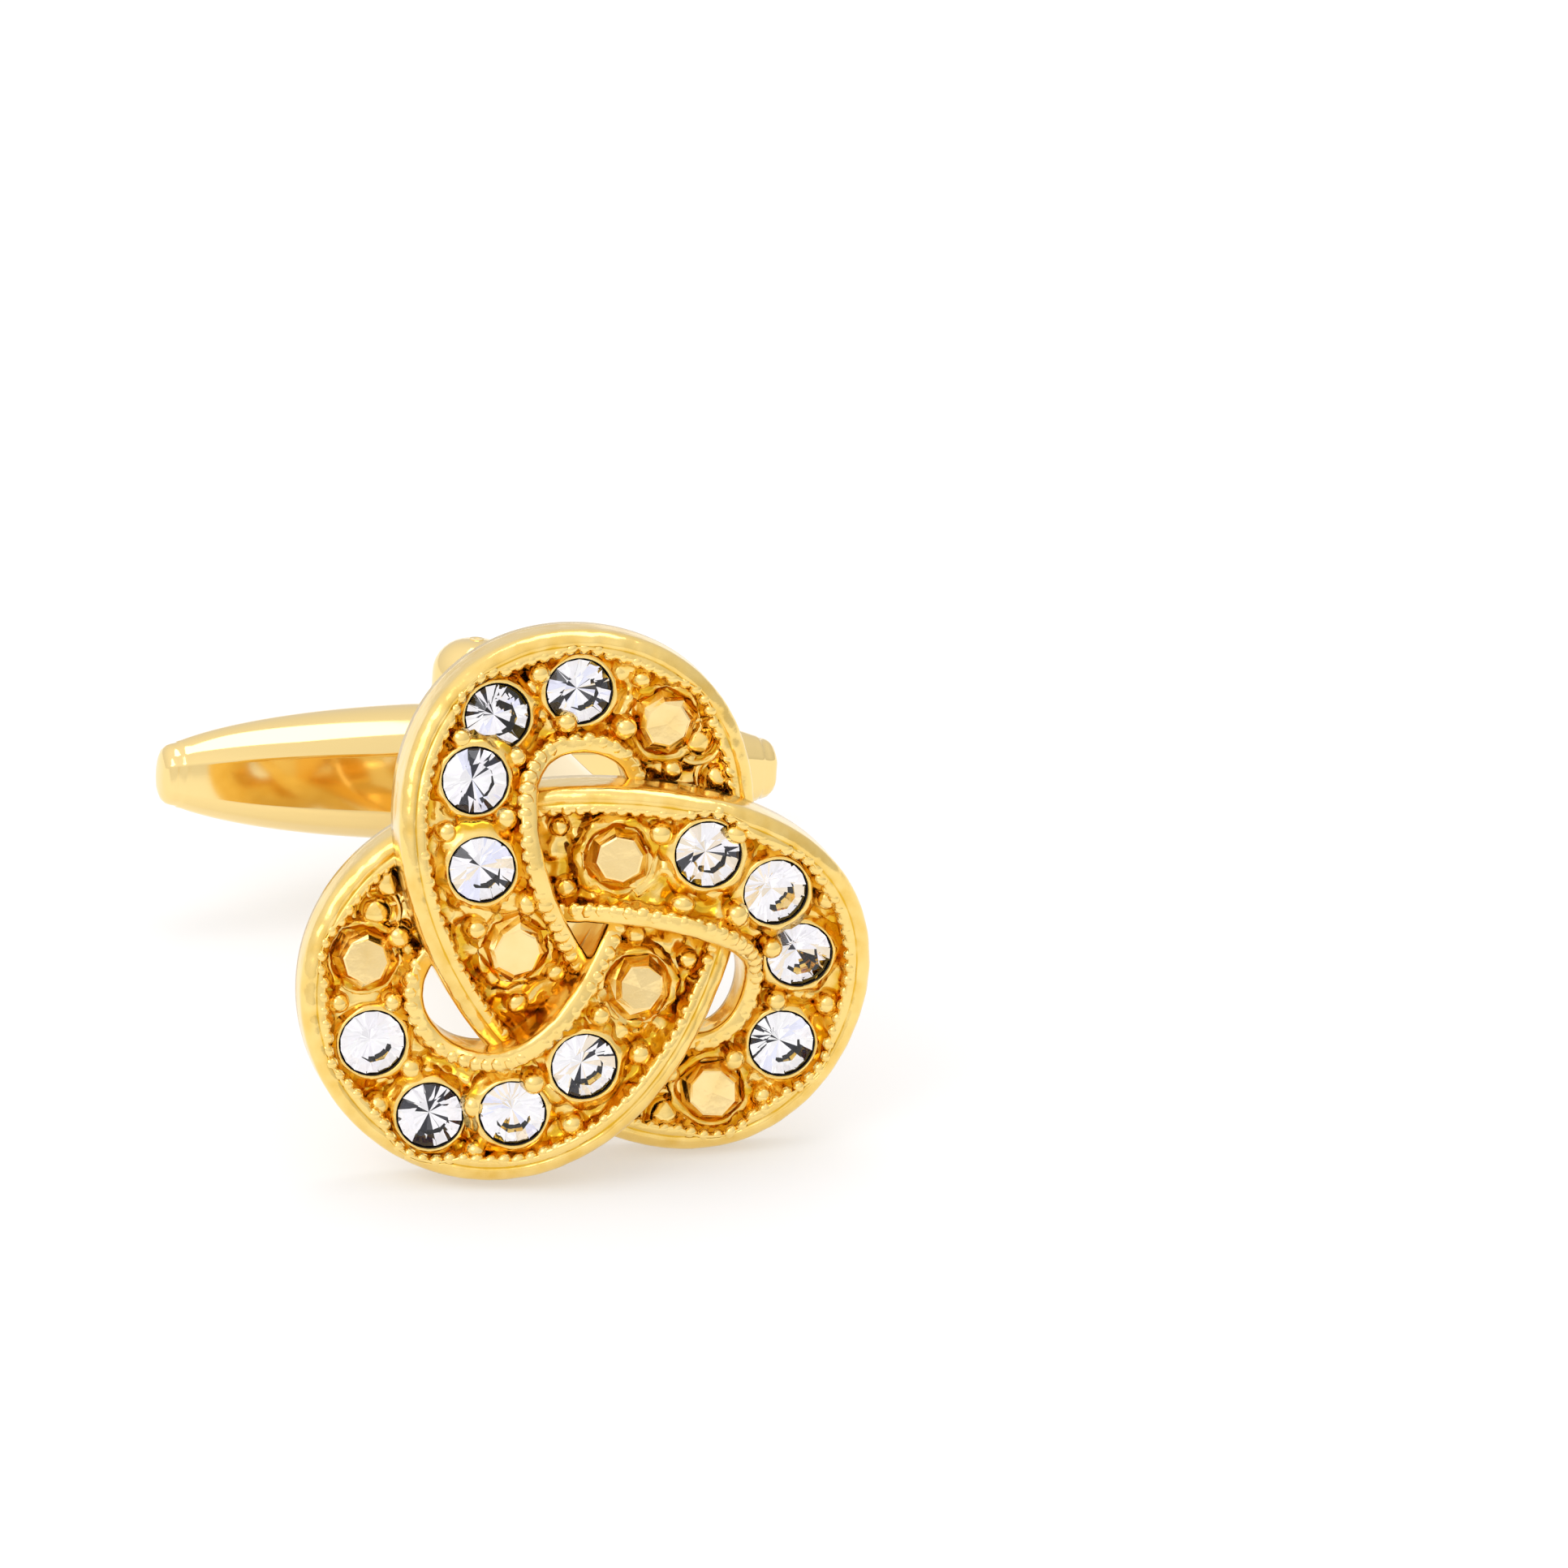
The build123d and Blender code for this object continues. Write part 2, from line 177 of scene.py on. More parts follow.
# Beads, which stand higher beside a setting, and the larger studs
BEAD_DIAMETER = 0.72
BEAD_HEIGHT = 0.52
BEAD_VARIATION = 0.10
BEAD_SIDES = 16
BEAD_LIFT = 0.22
BEAD_LIFT_REACH = 1.5
BEAD_LIFT_FADE = 0.25
STUD_DIAMETER = 0.95
STUD_HEIGHT = 0.48
STUD_FLATTENING = 0.8
STUD_RING_DIAMETER = 1.50
STUD_VARIATION = 0.05
STUD_ROUGH = 0.25
STUD_SIDES = 32

# Milled grains along the rims: how far a grain leans outwards, its place across the
# crest, its middle's depth below the crest, the swing of its height along the ribbon
# and where that starts, its size, its slant in degrees and its seed
GRAIN_PITCH = 0.42
GRAIN_VARIATION = 0.12
OUTER_GRAINS = {"lean": -0.10, "inboard": 0.72, "depth": 0.16, "swing": 0.05, "start": 40,
                "length": 0.47, "width": 0.40, "height": 0.37, "slant": 18, "seed": 1}
INNER_GRAINS = {"lean": 0.15, "inboard": 0.55, "depth": 0.165, "swing": -0.05, "start": -60,
                "length": 0.50, "width": 0.52, "height": 0.38, "slant": -32, "seed": 2}

# Skin of the casting: depth in millimetres, lumps to the metre, and how much
# painted shade its hollows get
SKIN_DEPTH = 0.75
SKIN_GRAIN = 1700.0
SKIN_HOLLOW_SHADE = 5.0

# Fork
PIVOT_BEHIND_FACE = 21.9
PIN_LEAN = 5.9
ARM_GAP = 4.74
ARM_THICKNESS = 0.98
ARM_WIDTH = 2.15
ARM_EDGE_RADIUS = 0.70
ARM_INNER_RADIUS = 0.16
ARM_INNER_FADE = 0.6
ARM_OVERLAP = 0.03
HEAD_DIAMETER = 2.40
HEAD_BULGE = 0.22
HEAD_ROUNDING = 0.5
TOP_HEAD_DIAMETER = 2.70
TOP_HEAD_BULGE = 1.00
TOP_HEAD_ROUNDING = 1.1
HEAD_CROWN = 0.05
HEAD_SIDES = 64
PIN_MARK = 0.22
SLOT_DEPTH = 13.5
SLOT_ARCH = 4.5
ROOT_SPREAD_HEIGHT = 0.35
ROOT_SPREAD_POWER = 1.5
ROOT_WIDTH = 3.4
ROOT_WIDTH_POWER = 3
PAD_DIAMETER = 7.4
PAD_FRONT = -0.95
PAD_BACK = -2.3
PAD_OVERLAP = 0.3
PAD_SIDES = 96
FORK_SHARP_ANGLE = 38

# Toggle
TOGGLE_LENGTH = 20.6
TOGGLE_HEIGHT = 4.50
TOGGLE_THICKNESS = 3.5
TOGGLE_SWIVEL = 9.0
TOGGLE_TAPER_LENGTH = 22.0
TOGGLE_SHARP_ANGLE = 45
NECK_DEPTH = 0.10
NECK_CLEARANCE = 0.30
NECK_SPAN = 1.6

# Toggle section, as shares of half its height and half its thickness, with
# the reach of each corner's rounding in millimetres
TOGGLE_CORNERS = [
    (0.47, 1.00, 0.14),
    (0.72, 0.76, 0.18),
    (0.95, 0.32, 0.40),
    (1.00, -0.20, 0.42),
    (0.80, -0.72, 0.45),
    (0.30, -1.00, 0.45),
]

# Rounded ends of the toggle, with a faint step: distance outwards, share of the
# section at the end
TOGGLE_CAP_LENGTH = 0.7
TOGGLE_CAP = [(0.0, 1.0), (0.08, 0.985), (0.12, 0.95), (0.14, 0.93), (0.30, 0.91),
              (0.45, 0.86), (0.57, 0.76), (0.65, 0.6), (0.69, 0.4), (TOGGLE_CAP_LENGTH, 0.15)]

# Random mottling of the gold towards the painted shade colour: lumps to the metre, the
# value they swing about, their strength on high metal, and how much stronger in the hollows
MOTTLE_GRAIN = 1400.0
MOTTLE_MIDDLE = 0.46
MOTTLE_ON_HIGH = 1.2
MOTTLE_IN_HOLLOWS = 5.0

# Colours, linear
CAST_LIGHT = (0.96, 0.70, 0.24, 1)
# Lighter gold for the bosses, painted brighter as if lit
PALE_LIT_COLOUR = (1.0, 0.76, 0.35, 1)
POLISHED = (0.94, 0.71, 0.30, 1)
# Amber painted shade for the casting's hollows and hidden sides
GOLD_IN_SHADE = (0.78, 0.44, 0.03, 1)
WHITE = (1.0, 1.0, 1.0, 1)
# Near-black painted shade of the gaps round the stones
SEAT_SHADE_BROWN = (0.016, 0.010, 0.006, 1)
FLOOR_GREY = (0.55, 0.55, 0.55, 1)
TENT_WHITE = (1.0, 0.985, 1.0, 1)

# Painted reflections on the stones' foiled facets, black to white as if each facet showed a dark or bright part of
# the studio: the value where each starts, its colour
REFLECTION_COLOURS = [
    (0.00, (0.015, 0.015, 0.025, 1)),
    (0.075, (0.95, 0.84, 0.66, 1)),
    (0.13, (0.84, 0.86, 1.00, 1)),
    (0.16, (0.98, 0.97, 0.99, 1)),
    (0.50, WHITE),
]

# Camera, from the photograph's viewing angle
CAMERA_AIM = (5.92, -12.03, 12.41)
CAMERA_DISTANCE = 390.0
CAMERA_TURN = 10.62
CAMERA_ELEVATION = 23.54
CAMERA_ROLL = 0.614
CAMERA_LENS = 298.1
CAMERA_SENSOR = 36.0

# Floor and lights. The tent's brightness changes with the height and the side of a
# direction, and with its angle from the camera: a span of each, and the brightness
# at its two ends.
FLOOR_HALF_SIZE = 3.0
FLOOR_GLOW = 0.40
TENT_BY_HEIGHT = ((-0.2, 0.9), (0.76, 1.08))
TENT_BY_SIDE = ((-1.0, 1.0), (1.08, 0.82))
TENT_BY_FRONT = ((cos(radians(50)), cos(radians(15))), (1.0, 1.12))
LIGHT_AIM = (0, 0, 8)
LIGHT_POWER = 0.3


# Placing

def upright_to_frame():
    """Turn and shift from upright millimetres to the frame's metres."""
    joint = frame["joints"][0]
    face = Vector(frame["record"]["mounts"][0]["axis"]).normalized()
    pin = Vector(joint["axis"]).normalized()
    up = Matrix.Rotation(radians(PIN_LEAN), 3, face) @ pin
    turn = Matrix((up.cross(face), up, face)).transposed()
    shift = Vector(joint["pos_m"]) + face * PIVOT_BEHIND_FACE * MM
    return np.array(turn), np.array(shift)


TURN, SHIFT = upright_to_frame()


def lay(points):
    """Upright millimetres to the frame's metres."""
    return np.asarray(points) @ TURN.T * MM + SHIFT


def lay_direction(vectors):
    return np.asarray(vectors) @ TURN.T


def unit(vector):
    return vector / np.linalg.norm(vector)


def spun(points, angle):
    """Points turned about Z by an angle in degrees."""
    turn = radians(angle)
    spin = np.array([[cos(turn), sin(turn), 0], [-sin(turn), cos(turn), 0], [0, 0, 1]])
    return np.asarray(points) @ spin


# Ribbon as formulas of the path angle s, in degrees

def path(s):
    turn = np.exp(1j * np.radians(s))
    return 1j * (MAIN_RADIUS * turn ** 2 + LOOP_RADIUS / turn - LOBE_FLATTENING / turn ** 4)


def outward(s):
    """Direction from the ribbon's middle to its outer edge."""
    ahead = path(s + PATH_STEP) - path(s - PATH_STEP)
    return -1j * ahead / np.abs(ahead)


def edge_height(s):
    turn = np.radians(LOBES * s)
    swing = WEAVE_SWING_HEIGHT * np.sin(turn) - WEAVE_STEEPNESS * np.sin(2 * turn)
    return WEAVE_MIDDLE - WEAVE_TIP_DROP * np.cos(turn) + swing


def crossing_share(s):
    """0 where the ribbon runs low, 1 where it crosses over."""
    return (1 + np.cos(np.radians(LOBES * (s - OVER_ANGLE)))) / 2


def inner_rise(s):
    return INNER_EDGE_RISE * (1 - np.cos(np.radians(LOBES * s))) / 2


def half_width(s):
    return RIBBON_HALF_WIDTH + RIBBON_WIDENING * (2 * crossing_share(s) - 1)


def outer_height(s):
    return edge_height(s) - inner_rise(s) / 2


def inner_height(s):
    return edge_height(s) + inner_rise(s) / 2


def on_ribbon(s, out, height):
    """Upright points at path angles, distances outwards and heights."""
    spot = path(s) + outward(s) * out
    return np.stack([spot.real, spot.imag, height + 0 * spot.real], axis=-1)


def floor_point(s, out):
    side = half_width(s)
    outer_foot = side - OUTER_SHOULDER - RIM_CREST - RIM_DRAFT
    inner_foot = side - INNER_SHOULDER - RIM_CREST - RIM_DRAFT
    share = (out + inner_foot) / (outer_foot + inner_foot)
    inner = inner_height(s) - RIM_HEIGHT
    return on_ribbon(s, out, inner + (outer_height(s) - RIM_HEIGHT - inner) * share)


def floor_axes(letter, place):
    """Point on the floor, the direction along the ribbon and the one square to it."""
    s = LOBE_START[letter] + place[0]
    out = place[1] * half_width(s)
    along = floor_point(s + FLOOR_STEP, out) - floor_point(s - FLOOR_STEP, out)
    across = floor_point(s, out + ACROSS_STEP) - floor_point(s, out - ACROSS_STEP)
    return floor_point(s, out), unit(along), unit(np.cross(across, along))


def setting_axes(places):
    """Floor point, direction along and facing direction of each setting, by label."""
    axes = {}
    for letter, spots in places.items():
        for number, place in enumerate(spots, start=1):
            spot, along, square = floor_axes(letter, place)
            facing = unit(square + (np.array([0, 0, 1]) - square) * SETTING_LEVELLING)
            along = unit(along - facing * along.dot(facing))
            axes[f"{letter}{number}"] = (spot, along, facing)
    return axes


def upright_axes(places):
    """Axes at places on the floor, half way between square to it and upright."""
    axes = []
    for letter, spots in places.items():
        for place in spots:
            spot, along, square = floor_axes(letter, place)
            axes.append((spot, along, unit(square + np.array([0, 0, 1.0]))))
    return axes


STONE_AXES = setting_axes(STONE_PLACES)
BOSS_AXES = setting_axes(BOSS_PLACES)


def make_room(points):
    """Push rims out of the way of the stones, and sink the floor under them."""
    points = points.copy()
    pits = [(axes, SEAT_PIT_DEPTH) for axes in STONE_AXES.values()]
    pits += [(axes, BOSS_SOCKET_DEPTH - COLLAR_HEIGHT) for axes in BOSS_AXES.values()]
    for (spot, along, facing), depth in pits:
        away = points - spot
        height = away @ facing
        flat = away - height[..., None] * facing
        radius = np.linalg.norm(flat, axis=-1)
        near = (height > -ROOM_BELOW) & (height < ROOM_ABOVE)
        rim = near & (height > RIM_ABOVE_FLOOR) & (radius < BULGE_RADIUS)
        wider = PIT_RADIUS + radius * (BULGE_RADIUS - PIT_RADIUS) / BULGE_RADIUS
        scale = np.where(rim, wider / np.maximum(radius, 1e-6), 1.0)
        points += flat * (scale - 1)[..., None]
        pit = near & ~rim & (radius < PIT_RADIUS)
        points -= np.where(pit, height + depth, 0.0)[..., None] * facing
    return points


def nearest_setting(points):
    """Distance from each point to the nearest setting's axis."""
    nearest = np.full(points.shape[:-1], FAR_AWAY)
    for spot, along, facing in [*STONE_AXES.values(), *BOSS_AXES.values()]:
        away = points - spot
        height = away @ facing
        radius = np.linalg.norm(away - height[..., None] * facing, axis=-1)
        beside = np.abs(height) < SETTING_REACH
        nearest = np.where(beside, np.minimum(nearest, radius), nearest)
    return nearest


# Meshes

def add_object(name, data):
    made = bpy.data.objects.new(name, data)
    bpy.context.scene.collection.objects.link(made)
    return made


def new_piece(name, points, faces, materials, smooth=True):
    """Object at the origin with its place in its mesh."""
    mesh = bpy.data.meshes.new(name)
    mesh.from_pydata([tuple(point) for point in lay(points)], [], faces)
    for material in materials:
        mesh.materials.append(material)
    mesh.polygons.foreach_set("use_smooth", [smooth] * len(mesh.polygons))
    return add_object(name, mesh)


def store(mesh, name, values, kind="FLOAT", domain="POINT"):
    """Store a number or a vector for each point or face of the mesh."""
    field = mesh.attributes.new(name, kind, domain)
    label = "value" if kind == "FLOAT" else "vector"
    field.data.foreach_set(label, np.asarray(values, dtype=np.float32).ravel())


def clean(piece):
    """Merge doubled points and turn every face outwards."""
    work = bmesh.new()
    work.from_mesh(piece.data)
    bmesh.ops.remove_doubles(work, verts=work.verts, dist=MERGE_DISTANCE)
    bmesh.ops.recalc_face_normals(work, faces=work.faces)
    work.to_mesh(piece.data)
    work.free()


def ring_faces(rings, corners, closed=False):
    """Quads between rings of points, each ring closed on itself."""
    faces = []
    for i in range(rings if closed else rings - 1):
        j = (i + 1) % rings
        for k in range(corners):
            m = (k + 1) % corners
            faces.append((i * corners + k, i * corners + m, j * corners + m, j * corners + k))
    return faces


def circle(radius, height, sides, turn=0.0):
    """Points of a level circle round Z, from an angle in degrees."""
    angles = np.radians(turn) + np.arange(sides) * 2 * pi / sides
    return [(radius * cos(a), radius * sin(a), height) for a in angles]


def lathe(profile, sides, turn=0.0):
    """Points and faces of a closed profile of radii and heights, spun about Z.
    The profile starts and ends on the axis."""
    points = [(0, 0, profile[0][1])]
    for radius, height in profile[1:-1]:
        points += circle(radius, height, sides, turn)
    points.append((0, 0, profile[-1][1]))
    rings = len(profile) - 2
    faces = [tuple(1 + v for v in face) for face in ring_faces(rings, sides)]
    last = len(points) - 1
    start = 1 + (rings - 1) * sides
    for k in range(sides):
        m = (k + 1) % sides
        faces.append((0, 1 + m, 1 + k))
        faces.append((last, start + k, start + m))
    return np.array(points), faces


def loft(rings):
    """Points and faces of a tube through rings, its ends closed."""
    corners = len(rings[0])
    points = [tuple(point) for ring in rings for point in ring]
    faces = ring_faces(len(rings), corners)
    faces.append(tuple(range(corners)))
    faces.append(tuple(len(points) - 1 - k for k in range(corners)))
    return points, faces


def joined(parts):
    """One list of points and faces from several."""
    points = []
    faces = []
    for some_points, some_faces in parts:
        start = len(points)
        points += [tuple(point) for point in some_points]
        faces += [tuple(start + v for v in face) for face in some_faces]
    return np.array(points), faces


def arc(centre_u, centre_z, radius, start, end, steps):
    """Points of an arc, given its centre, as (distance outwards, height)."""
    turns = np.radians(np.linspace(start, end, steps))
    return [(centre_u + radius * cos(t), centre_z + radius * sin(t)) for t in turns]


def dome(radius, rise, top, tilts):
    """Points up the side of a dome, as (radius, height)."""
    return [(radius * cos(t), top - rise + rise * sin(t)) for t in np.radians(tilts)]


def between(first, last, steps):
    """Points after the first and before the last, evenly spaced."""
    (u0, z0), (u1, z1) = first, last
    shares = [(i + 1) / (steps + 1) for i in range(steps)]
    return [(u0 + (u1 - u0) * share, z0 + (z1 - z0) * share) for share in shares]


def rounded_outline(corners, radii, steps):
    """Closed outline whose corners are curves that start at their radius."""
    outline = []
    count = len(corners)
    for i in range(count):
        corner, before, after = (np.array(corners[k % count], float) for k in (i, i - 1, i + 1))
        start = corner + unit(before - corner) * radii[i]
        end = corner + unit(after - corner) * radii[i]
        for step in range(steps):
            t = step / (steps - 1)
            outline.append((1 - t) ** 2 * start + 2 * t * (1 - t) * corner + t * t * end)
    return outline


# Nodes

def new_tree(kind, name, inputs, outputs):
    """Node tree with named inputs and outputs, given with the kind of each socket."""
    tree = bpy.data.node_groups.new(name, kind)
    for way, sockets in (("INPUT", inputs), ("OUTPUT", outputs)):
        for label, socket in sockets.items():
            tree.interface.new_socket(label, in_out=way, socket_type="NodeSocket" + socket)
    return tree, tree.nodes.new("NodeGroupInput").outputs, tree.nodes.new("NodeGroupOutput")


def set_inputs(tree, node, **values):
    """Give a node's inputs values or sockets, by name, or by number as in i0."""
    for key, value in values.items():
        socket = node.inputs[int(key[1:]) if key[1:].isdigit() else key.replace("_", " ")]
        if isinstance(value, bpy.types.NodeSocket):
            tree.links.new(value, socket)
        else:
            socket.default_value = value


def add_node(tree, kind, settings=None, **values):
    """Node with its own settings and, for its inputs, values or sockets."""
    made = tree.nodes.new(kind)
    for key, value in (settings or {}).items():
        setattr(made, key, value)
    set_inputs(tree, made, **values)
    return made


def math_node(tree, operation, first, second, clamp=False):
    settings = {"operation": operation, "use_clamp": clamp}
    return add_node(tree, "ShaderNodeMath", settings, i0=first, i1=second).outputs[0]


def vector_node(tree, operation, **values):
    return add_node(tree, "ShaderNodeVectorMath", {"operation": operation}, **values).outputs[0]


def noise(tree, place, **values):
    return add_node(tree, "ShaderNodeTexNoise", Vector=place, **values).outputs[0]


def object_place(tree):
    return add_node(tree, "ShaderNodeTexCoord").outputs["Object"]


def surface_value(tree, name):
    """Number that a mesh stores under a name, for a shader."""
    return add_node(tree, "ShaderNodeAttribute", {"attribute_name": name}).outputs["Fac"]


# Shader groups

def plating_marks():
    """Fine unevenness of plated metal: a roughness value and a height."""
    group, ins, outs = new_tree("ShaderNodeTree", "PlatingMarks",
                                {"Scale": "Float", "Lowest": "Float", "Spread": "Float"},
                                {"Roughness": "Float", "Height": "Float"})
    cloud = noise(group, object_place(group), Scale=ins["Scale"], Detail=3.0)
    spread = math_node(group, "MULTIPLY", cloud, ins["Spread"])
    rough = math_node(group, "ADD", spread, ins["Lowest"])
    set_inputs(group, outs, Roughness=rough, Height=cloud)
    return group


def make_shade_tint():
    """Gold that is painted darker amber as shade where the casting is low or hidden."""
    group, ins, outs = new_tree("ShaderNodeTree", "RecessTint",
                                {"Light": "Color", "Deep": "Color", "Mottling": "Float"},
                                {"Color": "Color"})
    low = surface_value(group, "recess")
    cloud = noise(group, object_place(group), Scale=MOTTLE_GRAIN, Detail=4.0)
    centred = math_node(group, "SUBTRACT", cloud, MOTTLE_MIDDLE)
    uneven = math_node(group, "MULTIPLY", centred, ins["Mottling"])
    deeper = math_node(group, "MULTIPLY", low, MOTTLE_IN_HOLLOWS)
    stronger = math_node(group, "ADD", deeper, MOTTLE_ON_HIGH)
    weighted = math_node(group, "MULTIPLY", uneven, stronger)
    mask = math_node(group, "ADD", low, weighted, clamp=True)
    tint = add_node(group, "ShaderNodeMix", {"data_type": "RGBA"}, i0=mask, i6=ins["Light"],
                    i7=ins["Deep"])
    set_inputs(group, outs, Color=tint.outputs[2])
    return group


def facet_reflections():
    """Painted reflection of each foiled facet, its colour from its random value."""
    group, ins, outs = new_tree("ShaderNodeTree", "FacetTones", {}, {"Color": "Color"})
    steps = add_node(group, "ShaderNodeValToRGB", Fac=surface_value(group, "tone"))
    ramp = steps.color_ramp
    ramp.interpolation = "CONSTANT"
    for place, colour in REFLECTION_COLOURS[1:]:
        ramp.elements.new(place)
    ramp.elements.remove(ramp.elements[-1])
    for element, (place, colour) in zip(ramp.elements, REFLECTION_COLOURS):
        element.position = place
        element.color = colour
    set_inputs(group, outs, Color=steps.outputs["Color"])
    return group


PLATING_MARKS = plating_marks()
SHADE_TINT = make_shade_tint()
FACET_REFLECTIONS = facet_reflections()


# Materials

def new_material(name, **values):
    """Material, its tree and its shader, with the given constants on the shader."""
    material = bpy.data.materials.new(name)
    material.use_nodes = True
    tree = material.node_tree
    shader = tree.nodes["Principled BSDF"]
    set_inputs(tree, shader, **values)
    return material, tree, shader


def add_group(tree, group, **values):
    return add_node(tree, "ShaderNodeGroup", {"node_tree": group}, **values).outputs


def gold(name, colour, lowest, spread, marks_scale, bump):
    """Plated gold of one colour, with fine marks."""
    material, tree, shader = new_material(name, Metallic=1.0, Base_Color=colour)
    marks = add_group(tree, PLATING_MARKS, Scale=marks_scale, Lowest=lowest, Spread=spread)
    relief = add_node(tree, "ShaderNodeBump", Strength=1.0, Distance=bump * MM,
                      Height=marks["Height"])
    set_inputs(tree, shader, Roughness=marks["Roughness"], Normal=relief.outputs["Normal"])
    return material, tree, shader


def casting_gold(name, light, mottling):
    """Gold of the casting, painted darker amber as shade where its painted shade value is high."""
    material, tree, shader = gold(name, light, lowest=0.10, spread=0.14, marks_scale=1600.0,
                                  bump=0.025)
    tint = add_group(tree, SHADE_TINT, Light=light, Deep=GOLD_IN_SHADE, Mottling=mottling)
    set_inputs(tree, shader, Base_Color=tint["Color"])
    return material


def foil():
    """Silvered back of the stones, each facet painted with its own reflection, from black to white."""
    material, tree, shader = new_material("foil", Metallic=1.0)
    marks = add_group(tree, PLATING_MARKS, Scale=700.0, Lowest=0.0, Spread=0.04)
    tones = add_group(tree, FACET_REFLECTIONS)
    set_inputs(tree, shader, Base_Color=tones["Color"], Roughness=marks["Roughness"])
    return material


def seat_shadow():
    """Near-black wall between a stone and its setting, painted as the gap's shade."""
    material, tree, shader = new_material("seat_shadow", Base_Color=SEAT_SHADE_BROWN)
    marks = add_group(tree, PLATING_MARKS, Scale=1500.0, Lowest=0.35, Spread=0.3)
    set_inputs(tree, shader, Roughness=marks["Roughness"])
    return material


CAST_GOLD = casting_gold("cast_gold", CAST_LIGHT, mottling=0.55)
# A lighter copy of the cast gold, painted brighter as if lit, for the bosses
LIT_PALE_GOLD = casting_gold("pale_gold", PALE_LIT_COLOUR, mottling=0.35)
POLISHED_GOLD = gold("polished_gold", POLISHED, lowest=0.07, spread=0.05, marks_scale=350.0,
                     bump=0.004)[0]
CRYSTAL_GLASS = new_material("crystal_glass", Base_Color=WHITE, Transmission_Weight=1.0,
                             Roughness=0.0, IOR=1.56)[0]
FOIL = foil()
SEAT_SHADOW = seat_shadow()


# Geometry node trees

def geometry_tree(name, **inputs):
    return new_tree("GeometryNodeTree", name, {"Geometry": "Geometry", "Material": "Material",
                                               **inputs}, {"Geometry": "Geometry"})


def named(tree, name, kind="FLOAT"):
    """Number or vector that the mesh stores under a name."""
    field = add_node(tree, "GeometryNodeInputNamedAttribute", {"data_type": kind}, Name=name)
    return field.outputs["Attribute"]


def aligned(tree, along):
    """Rotation with Z towards the point's facing, and X as near to along as it goes."""
    first = add_node(tree, "FunctionNodeAlignRotationToVector", {"axis": "Z"},
                     Vector=named(tree, "facing", "FLOAT_VECTOR"))
    second = add_node(tree, "FunctionNodeAlignRotationToVector",
                      {"axis": "X", "pivot_axis": "Z"}, Rotation=first.outputs[0], Vector=along)
    return second.outputs[0]


def chance_size(tree, ins):
    """Random scale near 1 for each point, as uneven as Variation says."""
    least = math_node(tree, "SUBTRACT", 1.0, ins["Variation"])
    most = math_node(tree, "ADD", 1.0, ins["Variation"])
    chance = add_node(tree, "FunctionNodeRandomValue", {"data_type": "FLOAT_VECTOR"},
                      Min=least, Max=most, Seed=ins["Seed"])
    return chance.outputs["Value"]


def finish_tree(tree, ins, outs, geometry):
    """Make the copies real geometry, and set the material."""
    real = add_node(tree, "GeometryNodeRealizeInstances", Geometry=geometry)
    painted = add_node(tree, "GeometryNodeSetMaterial", Geometry=real.outputs[0],
                       Material=ins["Material"])
    set_inputs(tree, outs, Geometry=painted.outputs[0])
    return tree


def placed_parts_tree():
    """The same part on every point, facing and turned as the point says."""
    tree, ins, outs = geometry_tree("PlacedParts", Part="Object", Variation="Float", Seed="Int")
    part = add_node(tree, "GeometryNodeObjectInfo", Object=ins["Part"])
    sized = vector_node(tree, "SCALE", Vector=chance_size(tree, ins), Scale=named(tree, "size"))
    copies = add_node(tree, "GeometryNodeInstanceOnPoints", Points=ins["Geometry"],
                      Instance=part.outputs["Geometry"],
                      Rotation=aligned(tree, named(tree, "along", "FLOAT_VECTOR")), Scale=sized)
    return finish_tree(tree, ins, outs, copies.outputs[0])


def grain_row_tree():
    """Slanted oval grains, evenly spaced along a line."""
    tree, ins, outs = geometry_tree("GrainRow", Pitch="Float", Length="Float", Width="Float",
                                    Height="Float", Slant="Float", Variation="Float", Seed="Int")
    line = add_node(tree, "GeometryNodeMeshToCurve", Mesh=ins["Geometry"])
    stops = add_node(tree, "GeometryNodeResampleCurve", {"mode": "LENGTH"},
                     Curve=line.outputs[0], Length=ins["Pitch"])
    tangent = add_node(tree, "GeometryNodeInputTangent").outputs[0]
    slant = add_node(tree, "FunctionNodeAxisAngleToRotation", Axis=(0, 0, 1), Angle=ins["Slant"])
    slanted = add_node(tree, "FunctionNodeRotateRotation", {"rotation_space": "LOCAL"},
                       i0=aligned(tree, tangent), i1=slant.outputs[0])
    shape = add_node(tree, "ShaderNodeCombineXYZ", X=ins["Length"], Y=ins["Width"],
                     Z=ins["Height"])
    uneven = vector_node(tree, "MULTIPLY", i0=shape.outputs[0], i1=chance_size(tree, ins))
    relief = add_node(tree, "ShaderNodeCombineXYZ", X=1.0, Y=1.0, Z=named(tree, "relief"))
    sized = vector_node(tree, "MULTIPLY", i0=uneven, i1=relief.outputs[0])
    ball = add_node(tree, "GeometryNodeMeshUVSphere", Segments=8, Rings=6, Radius=0.5)
    copies = add_node(tree, "GeometryNodeInstanceOnPoints", Points=stops.outputs[0],
                      Instance=ball.outputs[0], Rotation=slanted.outputs[0], Scale=sized)
    soft = add_node(tree, "GeometryNodeSetShadeSmooth", Geometry=copies.outputs[0])
    return finish_tree(tree, ins, outs, soft.outputs[0])


